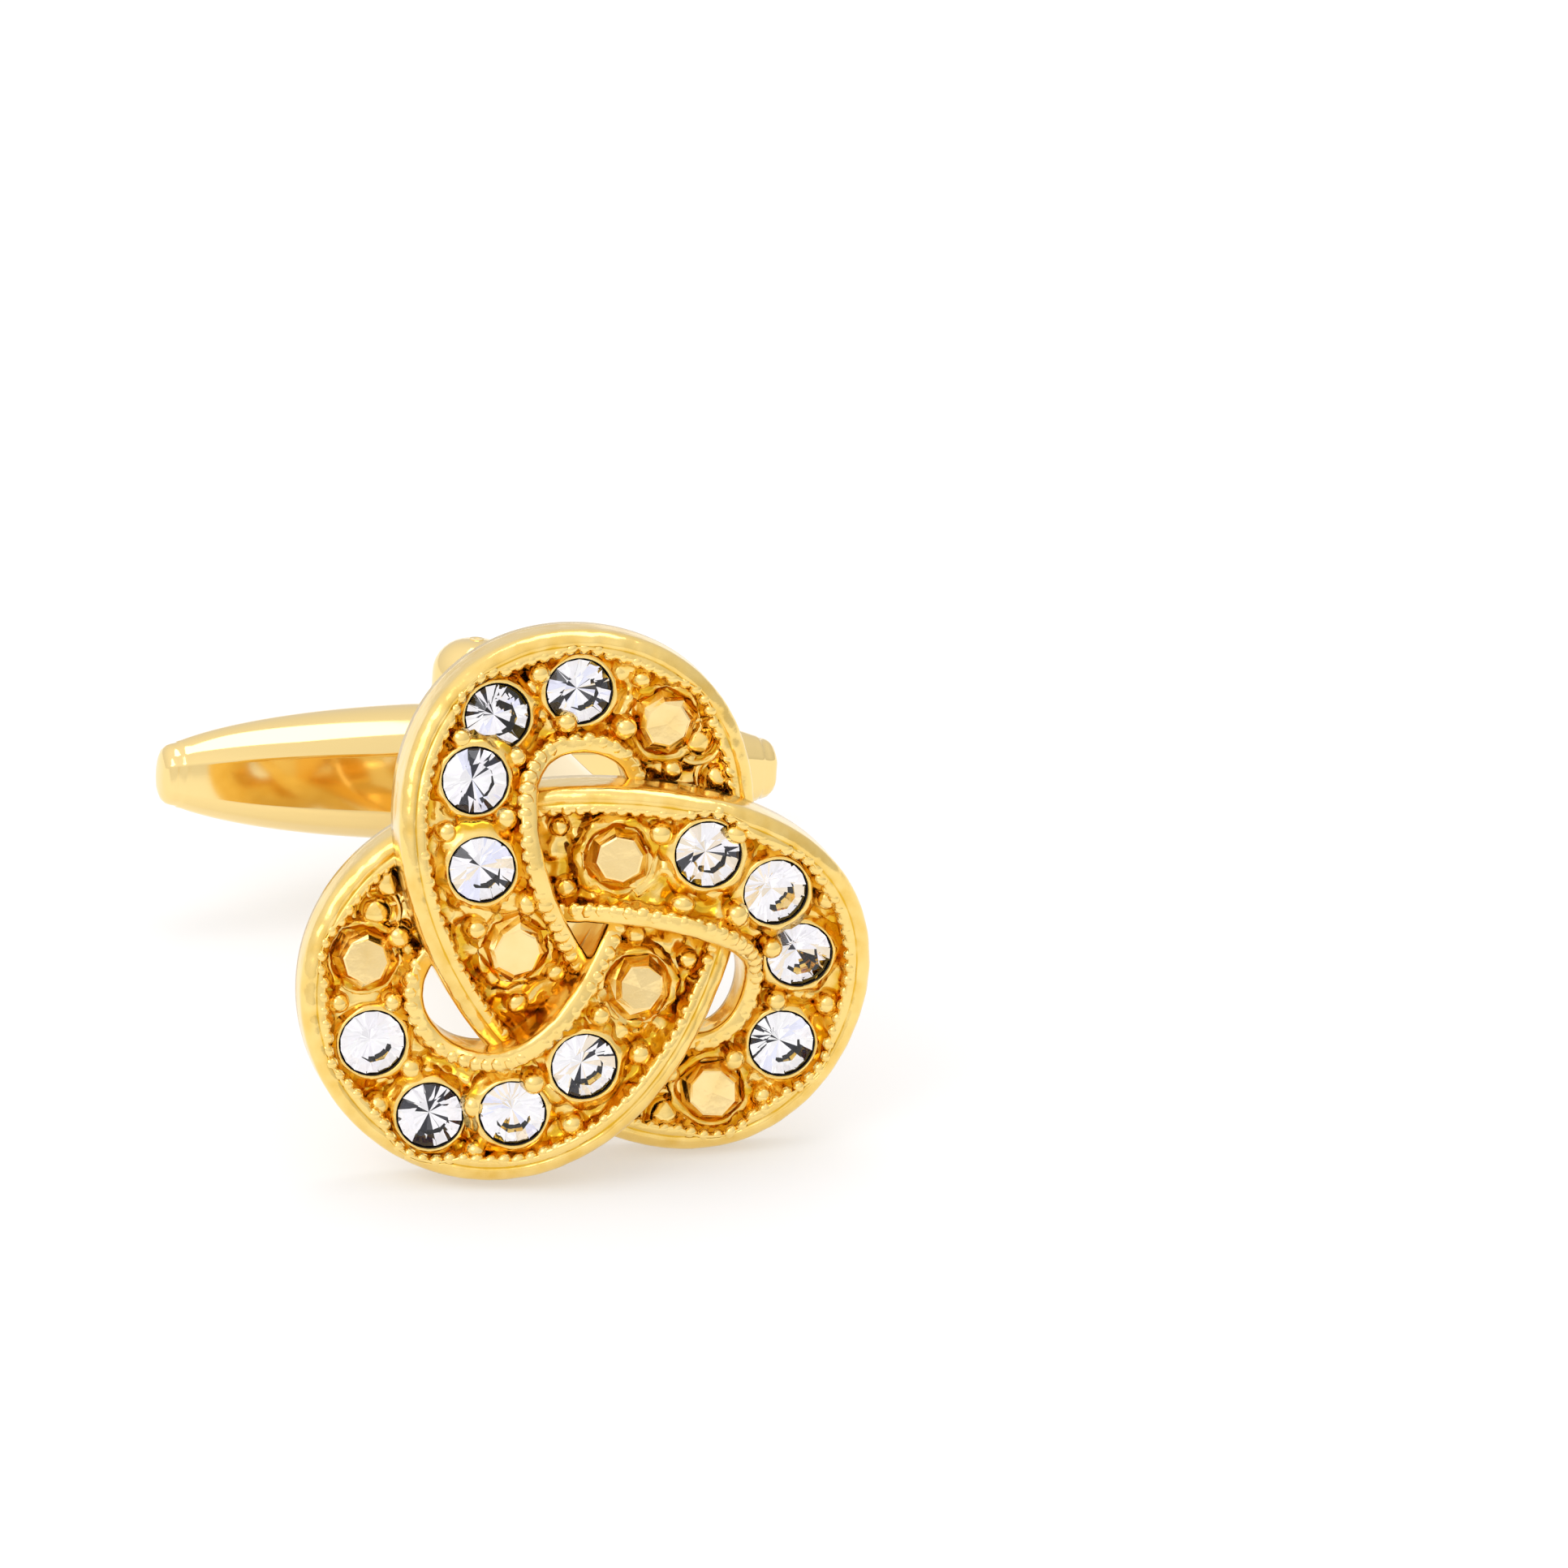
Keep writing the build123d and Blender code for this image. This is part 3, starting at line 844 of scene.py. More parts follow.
def cast_skin_tree():
    """Uneven skin of a casting, as deep as the rough value says, its hollows
    given more painted shade for the colour."""
    tree, ins, outs = geometry_tree("CastSkin", Depth="Float", Grain="Float", Tint="Float")
    place = add_node(tree, "GeometryNodeInputPosition").outputs[0]
    cloud = noise(tree, place, Scale=ins["Grain"], Detail=1.2, Roughness=0.5)
    centred = math_node(tree, "SUBTRACT", cloud, 0.5)
    uneven = math_node(tree, "MULTIPLY", centred, named(tree, "rough"))
    # Lumps get less painted shade, hollows more
    paler = math_node(tree, "MULTIPLY", uneven, ins["Tint"])
    recess = math_node(tree, "SUBTRACT", named(tree, "recess"), paler, clamp=True)
    marked = add_node(tree, "GeometryNodeStoreNamedAttribute",
                      {"data_type": "FLOAT", "domain": "POINT"},
                      Geometry=ins["Geometry"], Name="recess", Value=recess)
    square = add_node(tree, "GeometryNodeInputNormal").outputs[0]
    offset = vector_node(tree, "SCALE", Vector=square,
                         Scale=math_node(tree, "MULTIPLY", uneven, ins["Depth"]))
    moved = add_node(tree, "GeometryNodeSetPosition", Geometry=marked.outputs[0], Offset=offset)
    return finish_tree(tree, ins, outs, moved.outputs[0])


PLACED_PARTS = placed_parts_tree()
GRAIN_ROW = grain_row_tree()
CAST_SKIN = cast_skin_tree()


def grown(piece, tree, **values):
    """The piece as the tree makes it, as a plain mesh."""
    modifier = piece.modifiers.new("grow", "NODES")
    modifier.node_group = tree
    for item in tree.interface.items_tree:
        if item.in_out == "INPUT" and item.name in values:
            modifier[item.identifier] = values[item.name]
    depsgraph = bpy.context.evaluated_depsgraph_get()
    mesh = bpy.data.meshes.new_from_object(piece.evaluated_get(depsgraph), depsgraph=depsgraph)
    piece.modifiers.clear()
    old = piece.data
    piece.data = mesh
    mesh.name = piece.name
    bpy.data.meshes.remove(old)
    return piece


def with_skin(piece, material):
    """The piece with the uneven skin of a casting."""
    return grown(piece, CAST_SKIN, Material=material, Depth=SKIN_DEPTH * MM, Grain=SKIN_GRAIN,
                 Tint=SKIN_HOLLOW_SHADE)


def turned_parts(name, profile, sides, places, material=CAST_GOLD, skin=True,
                 lift=COLLAR_HEIGHT, size=1.0, turn=0.0, variation=0.0, seed=0, smooth=True):
    """One piece made of the same turned part in several places, each given as a point,
    the direction along the ribbon and the direction that the part faces, which is also
    the way that it is lifted. The profile gives a radius, a height, a painted shade value
    and a rough value at each step."""
    profile = np.array(profile, float)
    points, faces = lathe(profile[:, :2], sides, turn)
    part = bpy.data.meshes.new(name + "_part")
    part.from_pydata([tuple(point * MM) for point in points], [], faces)
    part.polygons.foreach_set("use_smooth", [smooth] * len(part.polygons))
    for label, values in zip(("recess", "rough"), profile[:, 2:].T):
        around = np.repeat(values[1:-1], sides)
        store(part, label, np.concatenate([values[:1], around, values[-1:]]))
    part_object = add_object(name + "_part", part)
    spots, alongs, facings = (np.array(column) for column in zip(*places))
    lifts = np.broadcast_to(lift, len(spots))[:, None]
    piece = new_piece(name, spots + facings * lifts, [], [material])
    store(piece.data, "along", lay_direction(alongs), "FLOAT_VECTOR")
    store(piece.data, "facing", lay_direction(facings), "FLOAT_VECTOR")
    store(piece.data, "size", np.full(len(spots), size))
    grown(piece, PLACED_PARTS, Part=part_object, Material=material, Variation=variation,
          Seed=seed)
    bpy.data.objects.remove(part_object)
    bpy.data.meshes.remove(part)
    return with_skin(piece, material) if skin else piece


# Knot

def ribbon_outline(s):
    """Section of the ribbon with rounded rims, as (outwards, height, painted shade, rough)."""
    side = half_width(s)
    outer = outer_height(s)
    inner = inner_height(s)
    bottom = edge_height(s) - RIBBON_THICKNESS - CROSSING_THICKENING * crossing_share(s)
    outer_crest = side - OUTER_SHOULDER
    outer_wall = outer_crest - RIM_CREST
    inner_wall = -(side - INNER_SHOULDER - RIM_CREST)
    outer_foot = outer_wall - RIM_DRAFT
    inner_foot = inner_wall + RIM_DRAFT
    outer_floor = outer - RIM_HEIGHT
    inner_floor = inner - RIM_HEIGHT
    outline = []

    def add(points, recess, rough):
        """Add points whose painted shade and rough go evenly from a first to a last value."""
        for i, (u, z) in enumerate(points):
            share = i / max(len(points) - 1, 1)
            outline.append((u, z, recess[0] + (recess[1] - recess[0]) * share,
                            rough[0] + (rough[1] - rough[0]) * share))

    # Outer side and rim, with the groove on its crest
    # Third value at each step: painted shade, dark in the groove, walls and fillets and on hidden sides
    add([(side - BOTTOM_CHAMFER, bottom), (side, bottom + BOTTOM_CHAMFER)], (0.2, 0.1), (0, 0))
    add(between((side, bottom), (side, outer - OUTER_SHOULDER), 2), (0.1, 0.0), (0, 0.03))
    add(arc(outer_crest, outer - OUTER_SHOULDER, OUTER_SHOULDER, 0, 90, 7),
        (0, 0.2), (0.03, 0.2))
    add([(outer_crest - GROOVE_WIDTH / 2, outer - GROOVE_DEPTH),
         (outer_crest - GROOVE_WIDTH, outer)], (1.0, 0.1), (0.1, 0.1))
    add(arc(outer_wall + CREST_ROUNDING, outer - CREST_ROUNDING, CREST_ROUNDING, 90, 170, 4),
        (0, 0.2), (0.1, 0.25))
    add(between((outer_wall, outer - CREST_ROUNDING), (outer_foot, outer_floor + FLOOR_FILLET),
                2), (0.5, 1.0), (0.5, 0.8))
    add(arc(outer_foot - FLOOR_FILLET, outer_floor + FLOOR_FILLET, FLOOR_FILLET, 0, -90, 3),
        (1, 1), (1, 1))

    # Crowned floor
    low_outer = (outer_foot - FLOOR_FILLET, outer_floor)
    low_inner = (inner_foot + FLOOR_FILLET, inner_floor)
    start = len(outline)
    add(between(low_outer, low_inner, 19), (FLOOR_SHADE, FLOOR_SHADE), (1, 1))
    # Painted shade on the floor, darker towards its edges by the rims and lighter on its crown
    for i in range(start, len(outline)):
        u, z, recess, rough = outline[i]
        middle = sin(pi * (i - start + 1) / (len(outline) - start + 1))
        outline[i] = (u, z + FLOOR_CROWN * (middle - FLOOR_CROWN_SINK),
                      recess + FLOOR_EDGE_SHADE * (FLOOR_EDGE_SHARE - middle), rough)

    # Inner rim and side
    add(arc(inner_foot + FLOOR_FILLET, inner_floor + FLOOR_FILLET, FLOOR_FILLET, -90, -180, 3),
        (1, 1), (1, 1))
    add(between((inner_foot, inner_floor + FLOOR_FILLET), (inner_wall, inner - CREST_ROUNDING),
                2), (1.0, 0.5), (0.8, 0.5))
    add(arc(inner_wall - CREST_ROUNDING, inner - CREST_ROUNDING, CREST_ROUNDING, 10, 90, 4),
        (0.2, 0), (0.25, 0.1))
    add(arc(-side + INNER_SHOULDER, inner - INNER_SHOULDER, INNER_SHOULDER, 90, 180, 5),
        (0, 0.1), (0.1, 0.1))
    add(between((-side, inner - INNER_SHOULDER), (-side, bottom), 3), (0.3, 0.8), (0.15, 0.15))
    add([(-side, bottom + BOTTOM_CHAMFER), (-side + BOTTOM_CHAMFER, bottom)], (0.8, 0.4), (0, 0))
    return np.array(outline)


def knot_ribbon():
    """The cast ribbon, all round its path."""
    outlines = np.array([ribbon_outline(s) for s in SECTION_ANGLES])
    sections, corners = outlines.shape[:2]
    points = make_room(on_ribbon(SECTION_ANGLES[:, None], outlines[..., 0], outlines[..., 1]))
    ribbon = new_piece("knot_ribbon", points.reshape(-1, 3),
                       ring_faces(sections, corners, closed=True), [CAST_GOLD])
    clear_of_seats = np.clip((nearest_setting(points) - PIT_RADIUS) / SKIN_FADE, 0, 1)
    store(ribbon.data, "recess", outlines[..., 2])
    store(ribbon.data, "rough", outlines[..., 3] * clear_of_seats)
    clean(ribbon)
    return with_skin(ribbon, CAST_GOLD)


def grain_row(name, out, height, grains):
    """Milled grains along one line of the ribbon."""
    points = make_room(on_ribbon(SECTION_ANGLES, out, height - grains["depth"]))
    count = len(points)
    row = new_piece(name, points, [], [CAST_GOLD])
    row.data.edges.add(count)
    pairs = [(i + k) % count for i in range(count) for k in (0, 1)]
    row.data.edges.foreach_set("vertices", pairs)
    lean = outward(SECTION_ANGLES) * grains["lean"]
    facing = np.stack([lean.real, lean.imag, np.ones(count)], axis=-1)
    swing = grains["swing"] * np.cos(np.radians(LOBES * SECTION_ANGLES + grains["start"]))
    store(row.data, "facing", lay_direction(facing), "FLOAT_VECTOR")
    store(row.data, "relief", 1.0 + swing)
    return grown(row, GRAIN_ROW, Material=CAST_GOLD, Pitch=GRAIN_PITCH * MM,
                 Length=grains["length"] * MM, Width=grains["width"] * MM,
                 Height=grains["height"] * MM, Slant=radians(grains["slant"]),
                 Variation=GRAIN_VARIATION, Seed=grains["seed"])


def rim_grains():
    """Milled rows on the inboard half of both rims."""
    side = half_width(SECTION_ANGLES)
    outer = side - OUTER_SHOULDER - RIM_CREST * OUTER_GRAINS["inboard"]
    inner = side - INNER_SHOULDER - RIM_CREST * INNER_GRAINS["inboard"]
    return [
        grain_row("outer_rim_grains", outer, outer_height(SECTION_ANGLES), OUTER_GRAINS),
        grain_row("inner_rim_grains", -inner, inner_height(SECTION_ANGLES), INNER_GRAINS),
    ]


def stone_collars():
    """Raised rings round the stones."""
    low = -SEAT_PIT_DEPTH - COLLAR_HEIGHT + 0.02
    # Steps: radius, height, painted shade (dark in the bore and down the outside), rough
    profile = [
        (0, low, 1, 0),
        (0.3, low + 0.02, 1, 0),
        (STONE_BORE, -GIRDLE_HEIGHT - 0.1, 1, 0),
        (STONE_BORE, COLLAR_LIP - 0.03, 0.4, 0),
        (STONE_BORE + 0.03, COLLAR_LIP, 0, 0.1),
        (STONE_BORE + 0.07, COLLAR_LIP - 0.01, 0, 0.2),
        (COLLAR_RIM - 0.02, COLLAR_LIP - 0.06, 0, 0.3),
        (COLLAR_RIM + 0.03, -0.03, 0.2, 0.5),
        (COLLAR_RIM + 0.09, -COLLAR_HEIGHT * 0.5, 0.5, 0.7),
        (COLLAR_RIM + 0.18, -COLLAR_HEIGHT * 0.8, 0.7, 0.9),
        (COLLAR_RIM + 0.32, -COLLAR_HEIGHT - 0.12, 0.8, 1),
        (0.8, low - 0.06, 1, 0),
        (0, low - 0.08, 1, 0),
    ]
    return turned_parts("stone_collars", profile, COLLAR_SIDES, STONE_AXES.values())


def seat_rings():
    """Dark walls between the stones and their settings, painted shade of the gaps."""
    outside = STONE_BORE - SEAT_EASING
    inside = outside - SEAT_WALL
    low = -GIRDLE_HEIGHT - PAVILION_DEPTH
    profile = [
        (0, low - 0.02, 0, 0),
        (0.1, low - 0.015, 0, 0),
        (outside, -GIRDLE_HEIGHT - 0.06, 0, 0),
        (outside, 0.015, 0, 0),
        (inside, 0.02, 0, 0),
        (inside, -GIRDLE_HEIGHT - 0.055, 0, 0),
        (0.09, low - 0.01, 0, 0),
        (0, low - 0.012, 0, 0),
    ]
    return turned_parts("seat_rings", profile, SEAT_SIDES, STONE_AXES.values(),
                        material=SEAT_SHADOW, skin=False)


def boss_cups():
    """Round sockets of the cast imitation stones."""
    low = -BOSS_SOCKET_DEPTH
    # Steps: radius, height, painted shade (darkest down in the cup, light on its lip), rough
    profile = [
        (0, low, 1, 0),
        (STONE_BORE - 0.12, low, 0.8, 0.5),
        (STONE_BORE - 0.02, low + 0.06, 0.7, 0.8),
        (STONE_BORE, -0.08, 0.5, 1),
        (STONE_BORE + 0.05, -0.05, 0.2, 1.2),
        (COLLAR_RIM - 0.01, -0.07, 0.1, 1.3),
        (COLLAR_RIM + 0.05, -0.13, 0.4, 1),
        (COLLAR_RIM + 0.14, -COLLAR_HEIGHT * 0.75, 0.6, 1),
        (COLLAR_RIM + 0.28, -COLLAR_HEIGHT - 0.12, 0.8, 1),
        (0.8, low - 0.3, 1, 0),
        (0, low - 0.3, 1, 0),
    ]
    return turned_parts("boss_cups", profile, COLLAR_SIDES, BOSS_AXES.values())


def cast_bosses():
    """Imitation stones with eight flats and a level top, in gold painted lighter as if lit."""
    foot = BOSS_DIAMETER / 2 + BOSS_FOOT_FLARE
    top = BOSS_TOP_DIAMETER / 2 + BOSS_TOP_FLARE
    # Steps: radius, height, painted shade (darker down the sides, none on the top), rough
    profile = [
        (0, -0.4, 1, 0),
        (foot * 0.9, -0.4, 1, 0),
        (foot, -0.04, 0.8, 0.7),
        ((foot + top) / 2, BOSS_RISE * 0.5, 0.3, 0.6),
        (top + 0.03, BOSS_RISE - 0.03, 0, 0.3),
        (top - 0.03, BOSS_RISE, 0, 0.15),
        (0, BOSS_RISE, 0, 0.15),
    ]
    return turned_parts("cast_bosses", profile, FACETS, BOSS_AXES.values(), material=LIT_PALE_GOLD,
                        size=BOSS_SIZE, turn=BOSS_TURN, variation=BOSS_VARIATION, seed=5,
                        smooth=False)


def beads():
    """Domed beads between the settings."""
    radius = BEAD_DIAMETER / 2
    side = dome(radius, radius, BEAD_HEIGHT, (0, 20, 40, 58, 75))
    # Steps: radius, height, painted shade (darker round the foot), rough
    profile = [
        (0, -0.2, 1, 0),
        (radius * 1.25, -0.15, 1, 0),
        (radius * 1.05, 0.05, 0.9, 0),
        *[(*point, recess, 0) for point, recess in zip(side, (0.6, 0.2, 0, 0, 0))],
        (0, BEAD_HEIGHT, 0, 0),
    ]
    axes = upright_axes(BEAD_PLACES)
    distance = nearest_setting(np.array([spot for spot, along, facing in axes]))
    lift = BEAD_LIFT * np.clip((BEAD_LIFT_REACH - distance) / BEAD_LIFT_FADE, 0, 1)
    return turned_parts("beads", profile, BEAD_SIDES, axes, skin=False, lift=lift,
                        variation=BEAD_VARIATION, seed=3)


def studs():
    """Larger domed studs, each with a thin ring round it."""
    radius = STUD_DIAMETER / 2
    ring = STUD_RING_DIAMETER / 2
    side = dome(radius, radius * STUD_FLATTENING, STUD_HEIGHT, (0, 18, 36, 52, 68, 80))
    # Steps: radius, height, painted shade: darker round the foot and inside the thin ring
    outline = [
        (0, -0.3, 1),
        (ring + 0.12, -0.2, 0.9),
        (ring + 0.06, 0.10, 0.5),
        (ring, 0.18, 0),
        (ring - 0.08, 0.18, 0),
        (ring - 0.16, 0.04, 0.8),
        (radius * 1.08, 0.02, 1),
        *[(*point, recess) for point, recess in zip(side, (0.5, 0.2, 0, 0, 0, 0))],
        (0, STUD_HEIGHT, 0),
    ]
    profile = [(*point, STUD_ROUGH) for point in outline]
    return turned_parts("studs", profile, STUD_SIDES, upright_axes(STUD_PLACES), lift=0.0,
                        variation=STUD_VARIATION, seed=8)


# Stones

def crystal_points():
    """Rings of a brilliant: table, crown, girdle and pavilion, girdle top at 0."""
    table = STONE_TABLE / 2
    radius = STONE_DIAMETER / 2 - STONE_EASING
    star = (table + radius) / 2 * STAR_SPREAD
    return [
        *circle(table, CROWN_HEIGHT, FACETS),
        *circle(star, CROWN_HEIGHT * STAR_HEIGHT, FACETS, 180 / FACETS),
        *circle(radius, 0.0, 2 * FACETS),
        *circle(radius, -GIRDLE_HEIGHT, 2 * FACETS),
        (0, 0, -GIRDLE_HEIGHT - PAVILION_DEPTH),
    ]


def crystal_faces():
    """Faces of the brilliant with the number of their material."""
    n = FACETS
    tables = list(range(n))
    stars = [n + k for k in range(n)]
    girdle = [2 * n + k for k in range(2 * n)]
    under = [4 * n + k for k in range(2 * n)]
    tip = 6 * n
    faces = [(tuple(tables), 0)]
    for k in range(n):
        m = (k + 1) % n
        corner, between_corners, after = girdle[2 * k], girdle[2 * k + 1], girdle[2 * m]
        faces.append(((tables[k], stars[k], tables[m]), 0))
        faces.append(((tables[k], stars[k - 1], corner, stars[k]), 0))
        faces.append(((stars[k], corner, between_corners), 0))
        faces.append(((stars[k], between_corners, after), 0))
        faces.append(((under[2 * k], under[2 * k + 1], tip), 1))
        faces.append(((under[2 * k + 1], under[2 * m], tip), 1))
    # The girdle band takes the third material, the painted shade of the seat
    for k in range(2 * n):
        m = (k + 1) % (2 * n)
        faces.append(((girdle[k], girdle[m], under[m], under[k]), 2))
    return faces


def crystals():
    """Twelve foiled stones, each in its own setting, their facets unevenly bright by painted reflections on the
    foil.
    """
    stones = []
    points = np.array(crystal_points())
    faces = crystal_faces()
    chance = np.random.default_rng(TONE_SEED)
    for number, (label, (spot, along, facing)) in enumerate(STONE_AXES.items()):
        turn = np.stack([along, np.cross(facing, along), facing])
        seated = spun(points, GOLDEN_ANGLE * number) @ turn + spot + facing * COLLAR_HEIGHT
        stone = new_piece(f"crystal_{label}", seated, [face for face, kind in faces],
                          [CRYSTAL_GLASS, FOIL, SEAT_SHADOW], smooth=False)
        stone.data.polygons.foreach_set("material_index", [kind for face, kind in faces])
        clean(stone)
        # A random value for each facet picks its painted reflection
        store(stone.data, "tone", chance.random(len(stone.data.polygons)), domain="FACE")
        stones.append(stone)
    return stones


# Fork

def fork_arm(side):
    """One arm, from the pivot to the pad, with its share of the slot's arch."""
    arch_start = -(PIVOT_BEHIND_FACE - SLOT_DEPTH + SLOT_ARCH)
    stops = [(z, ARM_GAP / 2) for z in np.linspace(-PIVOT_BEHIND_FACE, arch_start, 14)]
    for turn in np.radians(np.linspace(0, 90, 16)[1:]):
        stops.append((arch_start + SLOT_ARCH * sin(turn), ARM_GAP / 2 * cos(turn)))
    root = np.linspace(stops[-1][0], PAD_BACK + PAD_OVERLAP, 12)[1:]
    stops += [(z, -ARM_OVERLAP) for z in root]
    rings = []
    for z, inner in stops:
        forward = (z + PIVOT_BEHIND_FACE) / (PIVOT_BEHIND_FACE + PAD_FRONT)
        half = (ARM_WIDTH + (ROOT_WIDTH - ARM_WIDTH) * forward ** ROOT_WIDTH_POWER) / 2
        spread = ROOT_SPREAD_HEIGHT * forward ** ROOT_SPREAD_POWER
        outer = ARM_GAP / 2 + ARM_THICKNESS + spread
        inner_radius = ARM_INNER_RADIUS * min(1.0, max(inner, 0.0) / ARM_INNER_FADE)
        radii = [ARM_EDGE_RADIUS, ARM_EDGE_RADIUS, inner_radius, inner_radius]
        inset = half - ARM_OVERLAP if inner < 0 else half
        corners = [(-half, outer), (half, outer), (inset, inner), (-inset, inner)]
        rings.append([(x, side * y, z) for x, y in rounded_outline(corners, radii, 6)])
    return loft(rings)


def arm_head(side, diameter, bulge, rounding):
    """Rounded end of the upper arm (side 1) or the lower one (side -1)."""
    radius = diameter / 2
    low = ARM_GAP / 2
    top = low + ARM_THICKNESS + bulge
    profile = [
        (0, low),
        (radius - 0.1, low),
        (radius - 0.02, low + 0.04),
        (radius, low + 0.12),
        *arc(radius - rounding, top - HEAD_CROWN - rounding, rounding, 0, 90, 9),
        (PIN_MARK, top - 0.01),
        (PIN_MARK / 2, top - 0.015),
        (PIN_MARK / 3, top - 0.06),
        (0, top - 0.07),
    ]
    points, faces = lathe(profile, HEAD_SIDES)
    across, along, up = points.T
    return np.stack([across, side * up, along - PIVOT_BEHIND_FACE], axis=-1), faces


def fork():
    """Two arms and their heads on a round pad."""
    radius = PAD_DIAMETER / 2
    pad = [
        (0, PAD_BACK),
        (radius - 0.15, PAD_BACK),
        (radius - 0.04, PAD_BACK + 0.05),
        (radius, PAD_BACK + 0.16),
        (radius, PAD_FRONT),
        (0, PAD_FRONT),
    ]
    top = arm_head(1, TOP_HEAD_DIAMETER, TOP_HEAD_BULGE, TOP_HEAD_ROUNDING)
    bottom = arm_head(-1, HEAD_DIAMETER, HEAD_BULGE, HEAD_ROUNDING)
    points, faces = joined([fork_arm(1), fork_arm(-1), top, bottom, lathe(pad, PAD_SIDES)])
    piece = new_piece("fork", spun(points, -PIN_LEAN), faces, [POLISHED_GOLD])
    clean(piece)
    piece.data.set_sharp_from_angle(angle=radians(FORK_SHARP_ANGLE))
    return piece


# Toggle

def toggle_ring(along):
    """Outline of the toggle at a distance from its middle."""
    share = sqrt(max(1 - (2 * along / TOGGLE_TAPER_LENGTH) ** 2, 0.0))
    high = TOGGLE_HEIGHT / 2 * share
    thick = TOGGLE_THICKNESS / 2 * share
    right = [(high * u, thick * v) for u, v, soft in TOGGLE_CORNERS]
    left = [(-high * u, thick * v) for u, v, soft in reversed(TOGGLE_CORNERS)]
    radii = [soft * share for u, v, soft in TOGGLE_CORNERS]
    reach = TOP_HEAD_DIAMETER / 2 + NECK_CLEARANCE
    neck = TOGGLE_HEIGHT / 2 - NECK_DEPTH
    ring = []
    for y, z in rounded_outline(right + left, radii + radii[::-1], 5):
        if along ** 2 + z ** 2 < reach ** 2:
            y = max(-neck, min(neck, y))
        ring.append((along, y, z))
    return ring


def toggle_cap(ring, side):
    """Rings that close an end."""
    return [np.array(ring) * (1, share, share) + (side * out, 0, 0) for out, share in TOGGLE_CAP]


def toggle():
    """Swivelling bar with a flat side, soft bevels and stepped ends."""
    reach = TOGGLE_LENGTH / 2 - TOGGLE_CAP_LENGTH
    fine = np.linspace(-NECK_SPAN, NECK_SPAN, 33)
    coarse = np.linspace(NECK_SPAN, reach, 40)[1:]
    rings = [toggle_ring(along) for along in [*-coarse[::-1], *fine, *coarse]]
    head = toggle_cap(rings[0], -1)[::-1]
    tail = toggle_cap(rings[-1], 1)
    points, faces = loft([*head, *rings[1:-1], *tail])
    swing = radians(TOGGLE_SWIVEL)
    swivel = np.array([[cos(swing), 0, -sin(swing)], [0, 1, 0], [sin(swing), 0, cos(swing)]])
    swung = np.array(points) @ swivel + (0, 0, -PIVOT_BEHIND_FACE)
    piece = new_piece("toggle_bar_polished", spun(swung, -PIN_LEAN), faces, [POLISHED_GOLD])
    clean(piece)
    piece.data.set_sharp_from_angle(angle=radians(TOGGLE_SHARP_ANGLE))
    return piece


# Stage

def floor():
    """White floor, which glows a little so that it meets the background."""
    mesh = bpy.data.meshes.new("floor")
    size = FLOOR_HALF_SIZE
    corners = [(-size, -size, 0), (size, -size, 0), (size, size, 0), (-size, size, 0)]
    mesh.from_pydata(corners, [], [(0, 1, 2, 3)])
    material = new_material("floor_white", Base_Color=FLOOR_GREY, Roughness=0.8,
                            Specular_IOR_Level=0.2, Emission_Color=WHITE,
                            Emission_Strength=FLOOR_GLOW)[0]
    mesh.materials.append(material)
    ground = add_object("floor", mesh)


def view_direction():
    turn = radians(CAMERA_TURN)
    drop = radians(CAMERA_ELEVATION)
    return Vector((sin(turn) * cos(drop), cos(turn) * cos(drop), -sin(drop)))


def camera():
    forward = view_direction()
    data = bpy.data.cameras.new("camera")
    data.lens = CAMERA_LENS
    data.sensor_width = CAMERA_SENSOR
    data.clip_start = 0.01
    data.clip_end = 10.0
    eye = add_object("camera", data)
    look = forward.to_track_quat("-Z", "Y").to_matrix()
    look = Matrix.Rotation(radians(CAMERA_ROLL), 3, forward) @ look
    eye.matrix_world = look.to_4x4()
    eye.location = (Vector(CAMERA_AIM) - forward * CAMERA_DISTANCE) * MM
    bpy.context.scene.camera = eye


def ranged(tree, value, span, limits):
    """Number between two limits, as the value lies in the span."""
    made = add_node(tree, "ShaderNodeMapRange", i0=value, i1=span[0], i2=span[1],
                    i3=limits[0], i4=limits[1])
    return made.outputs[0]


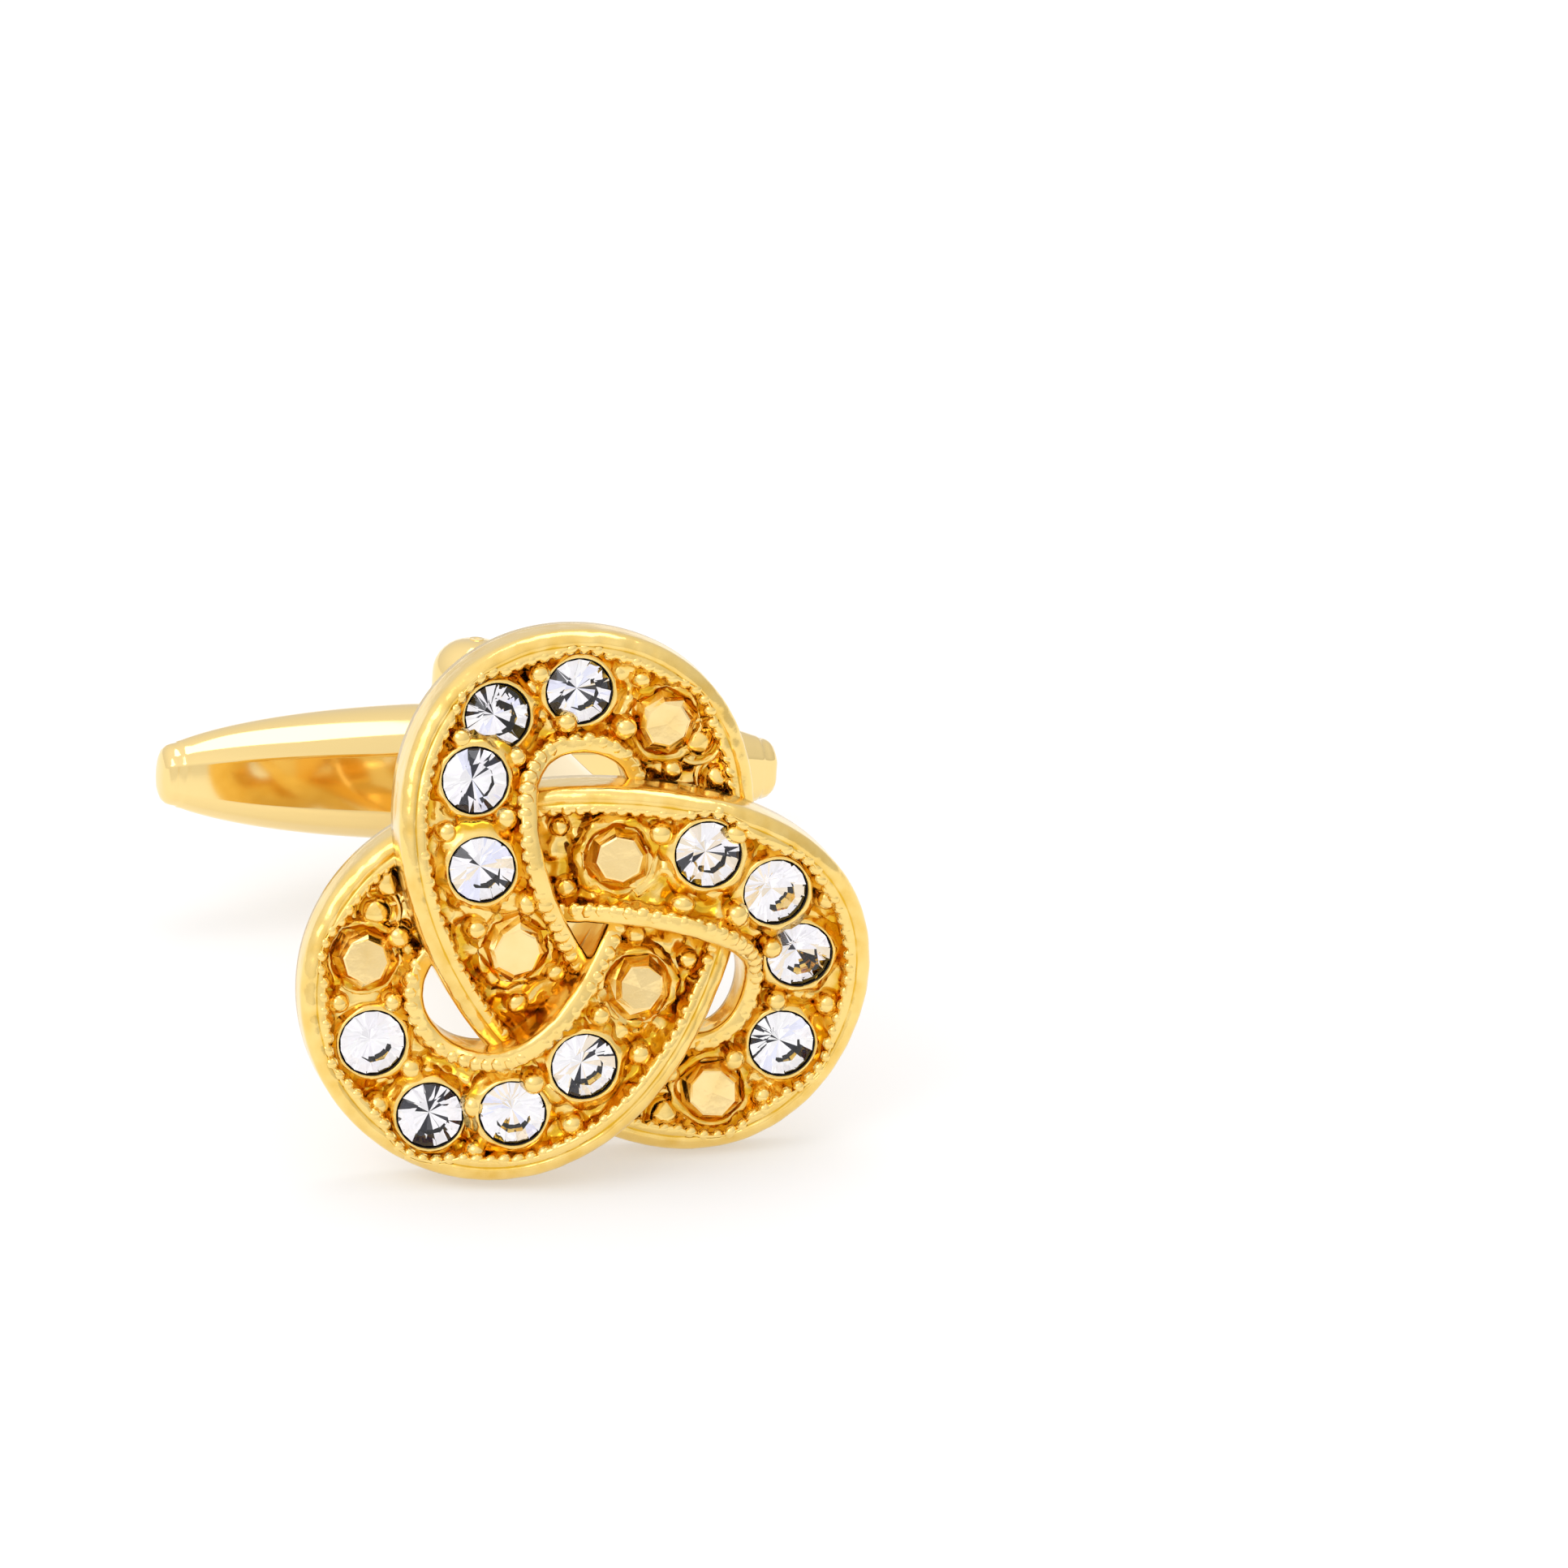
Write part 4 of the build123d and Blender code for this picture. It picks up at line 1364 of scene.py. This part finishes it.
def surround():
    """White background, and a bright tent for the reflections, brightest in front."""
    world = bpy.data.worlds.new("studio")
    bpy.context.scene.world = world
    world.use_nodes = True
    tree = world.node_tree
    backdrop = tree.nodes["Background"]
    backdrop.inputs["Color"].default_value = WHITE
    direction = add_node(tree, "ShaderNodeTexCoord").outputs["Generated"]
    towards = add_node(tree, "ShaderNodeVectorMath", {"operation": "DOT_PRODUCT"},
                       i0=direction, i1=tuple(-view_direction())).outputs["Value"]
    split = add_node(tree, "ShaderNodeSeparateXYZ", Vector=direction).outputs
    tall = ranged(tree, split["Z"], *TENT_BY_HEIGHT)
    sideways = ranged(tree, split["X"], *TENT_BY_SIDE)
    facing = ranged(tree, towards, *TENT_BY_FRONT)
    bright = math_node(tree, "MULTIPLY", math_node(tree, "MULTIPLY", tall, sideways), facing)
    tent = add_node(tree, "ShaderNodeBackground", Color=TENT_WHITE, Strength=bright)
    seen = add_node(tree, "ShaderNodeLightPath").outputs["Is Camera Ray"]
    mix = add_node(tree, "ShaderNodeMixShader", i0=seen, i1=tent.outputs[0],
                   i2=backdrop.outputs[0])
    set_inputs(tree, tree.nodes["World Output"], Surface=mix.outputs[0])


def softbox(name, place, size):
    """Oblong light that faces the cufflink's middle, placed in millimetres."""
    data = bpy.data.lights.new(name, "AREA")
    data.shape = "RECTANGLE"
    data.size = size[0] * MM
    data.size_y = size[1] * MM
    data.energy = LIGHT_POWER
    light = add_object(name, data)
    light.location = Vector(place) * MM
    aim = Vector(LIGHT_AIM) - Vector(place)
    light.rotation_euler = aim.to_track_quat("-Z", "Y").to_euler()


floor()
camera()
surround()
softbox("key_left", (-260, -160, 300), (240, 240))
softbox("top", (60, 80, 360), (240, 200))
bpy.context.scene.view_settings.view_transform = "Standard"

cast_pieces = [knot_ribbon(), *rim_grains(), stone_collars(), seat_rings(), boss_cups(),
               cast_bosses(), beads(), studs(), fork()]
for piece in cast_pieces:
    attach(piece, "knot")
    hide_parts("knot_and_fork")
for stone in crystals():
    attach(stone, "knot")
    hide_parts(stone.name.replace("crystal", "stone"))
bar = toggle()
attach(bar, "toggle_bar")
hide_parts("toggle")
pin_mesh = frame["nodes"]["swivel_pin"].data
pin_mesh.materials.clear()
pin_mesh.materials.append(POLISHED_GOLD)
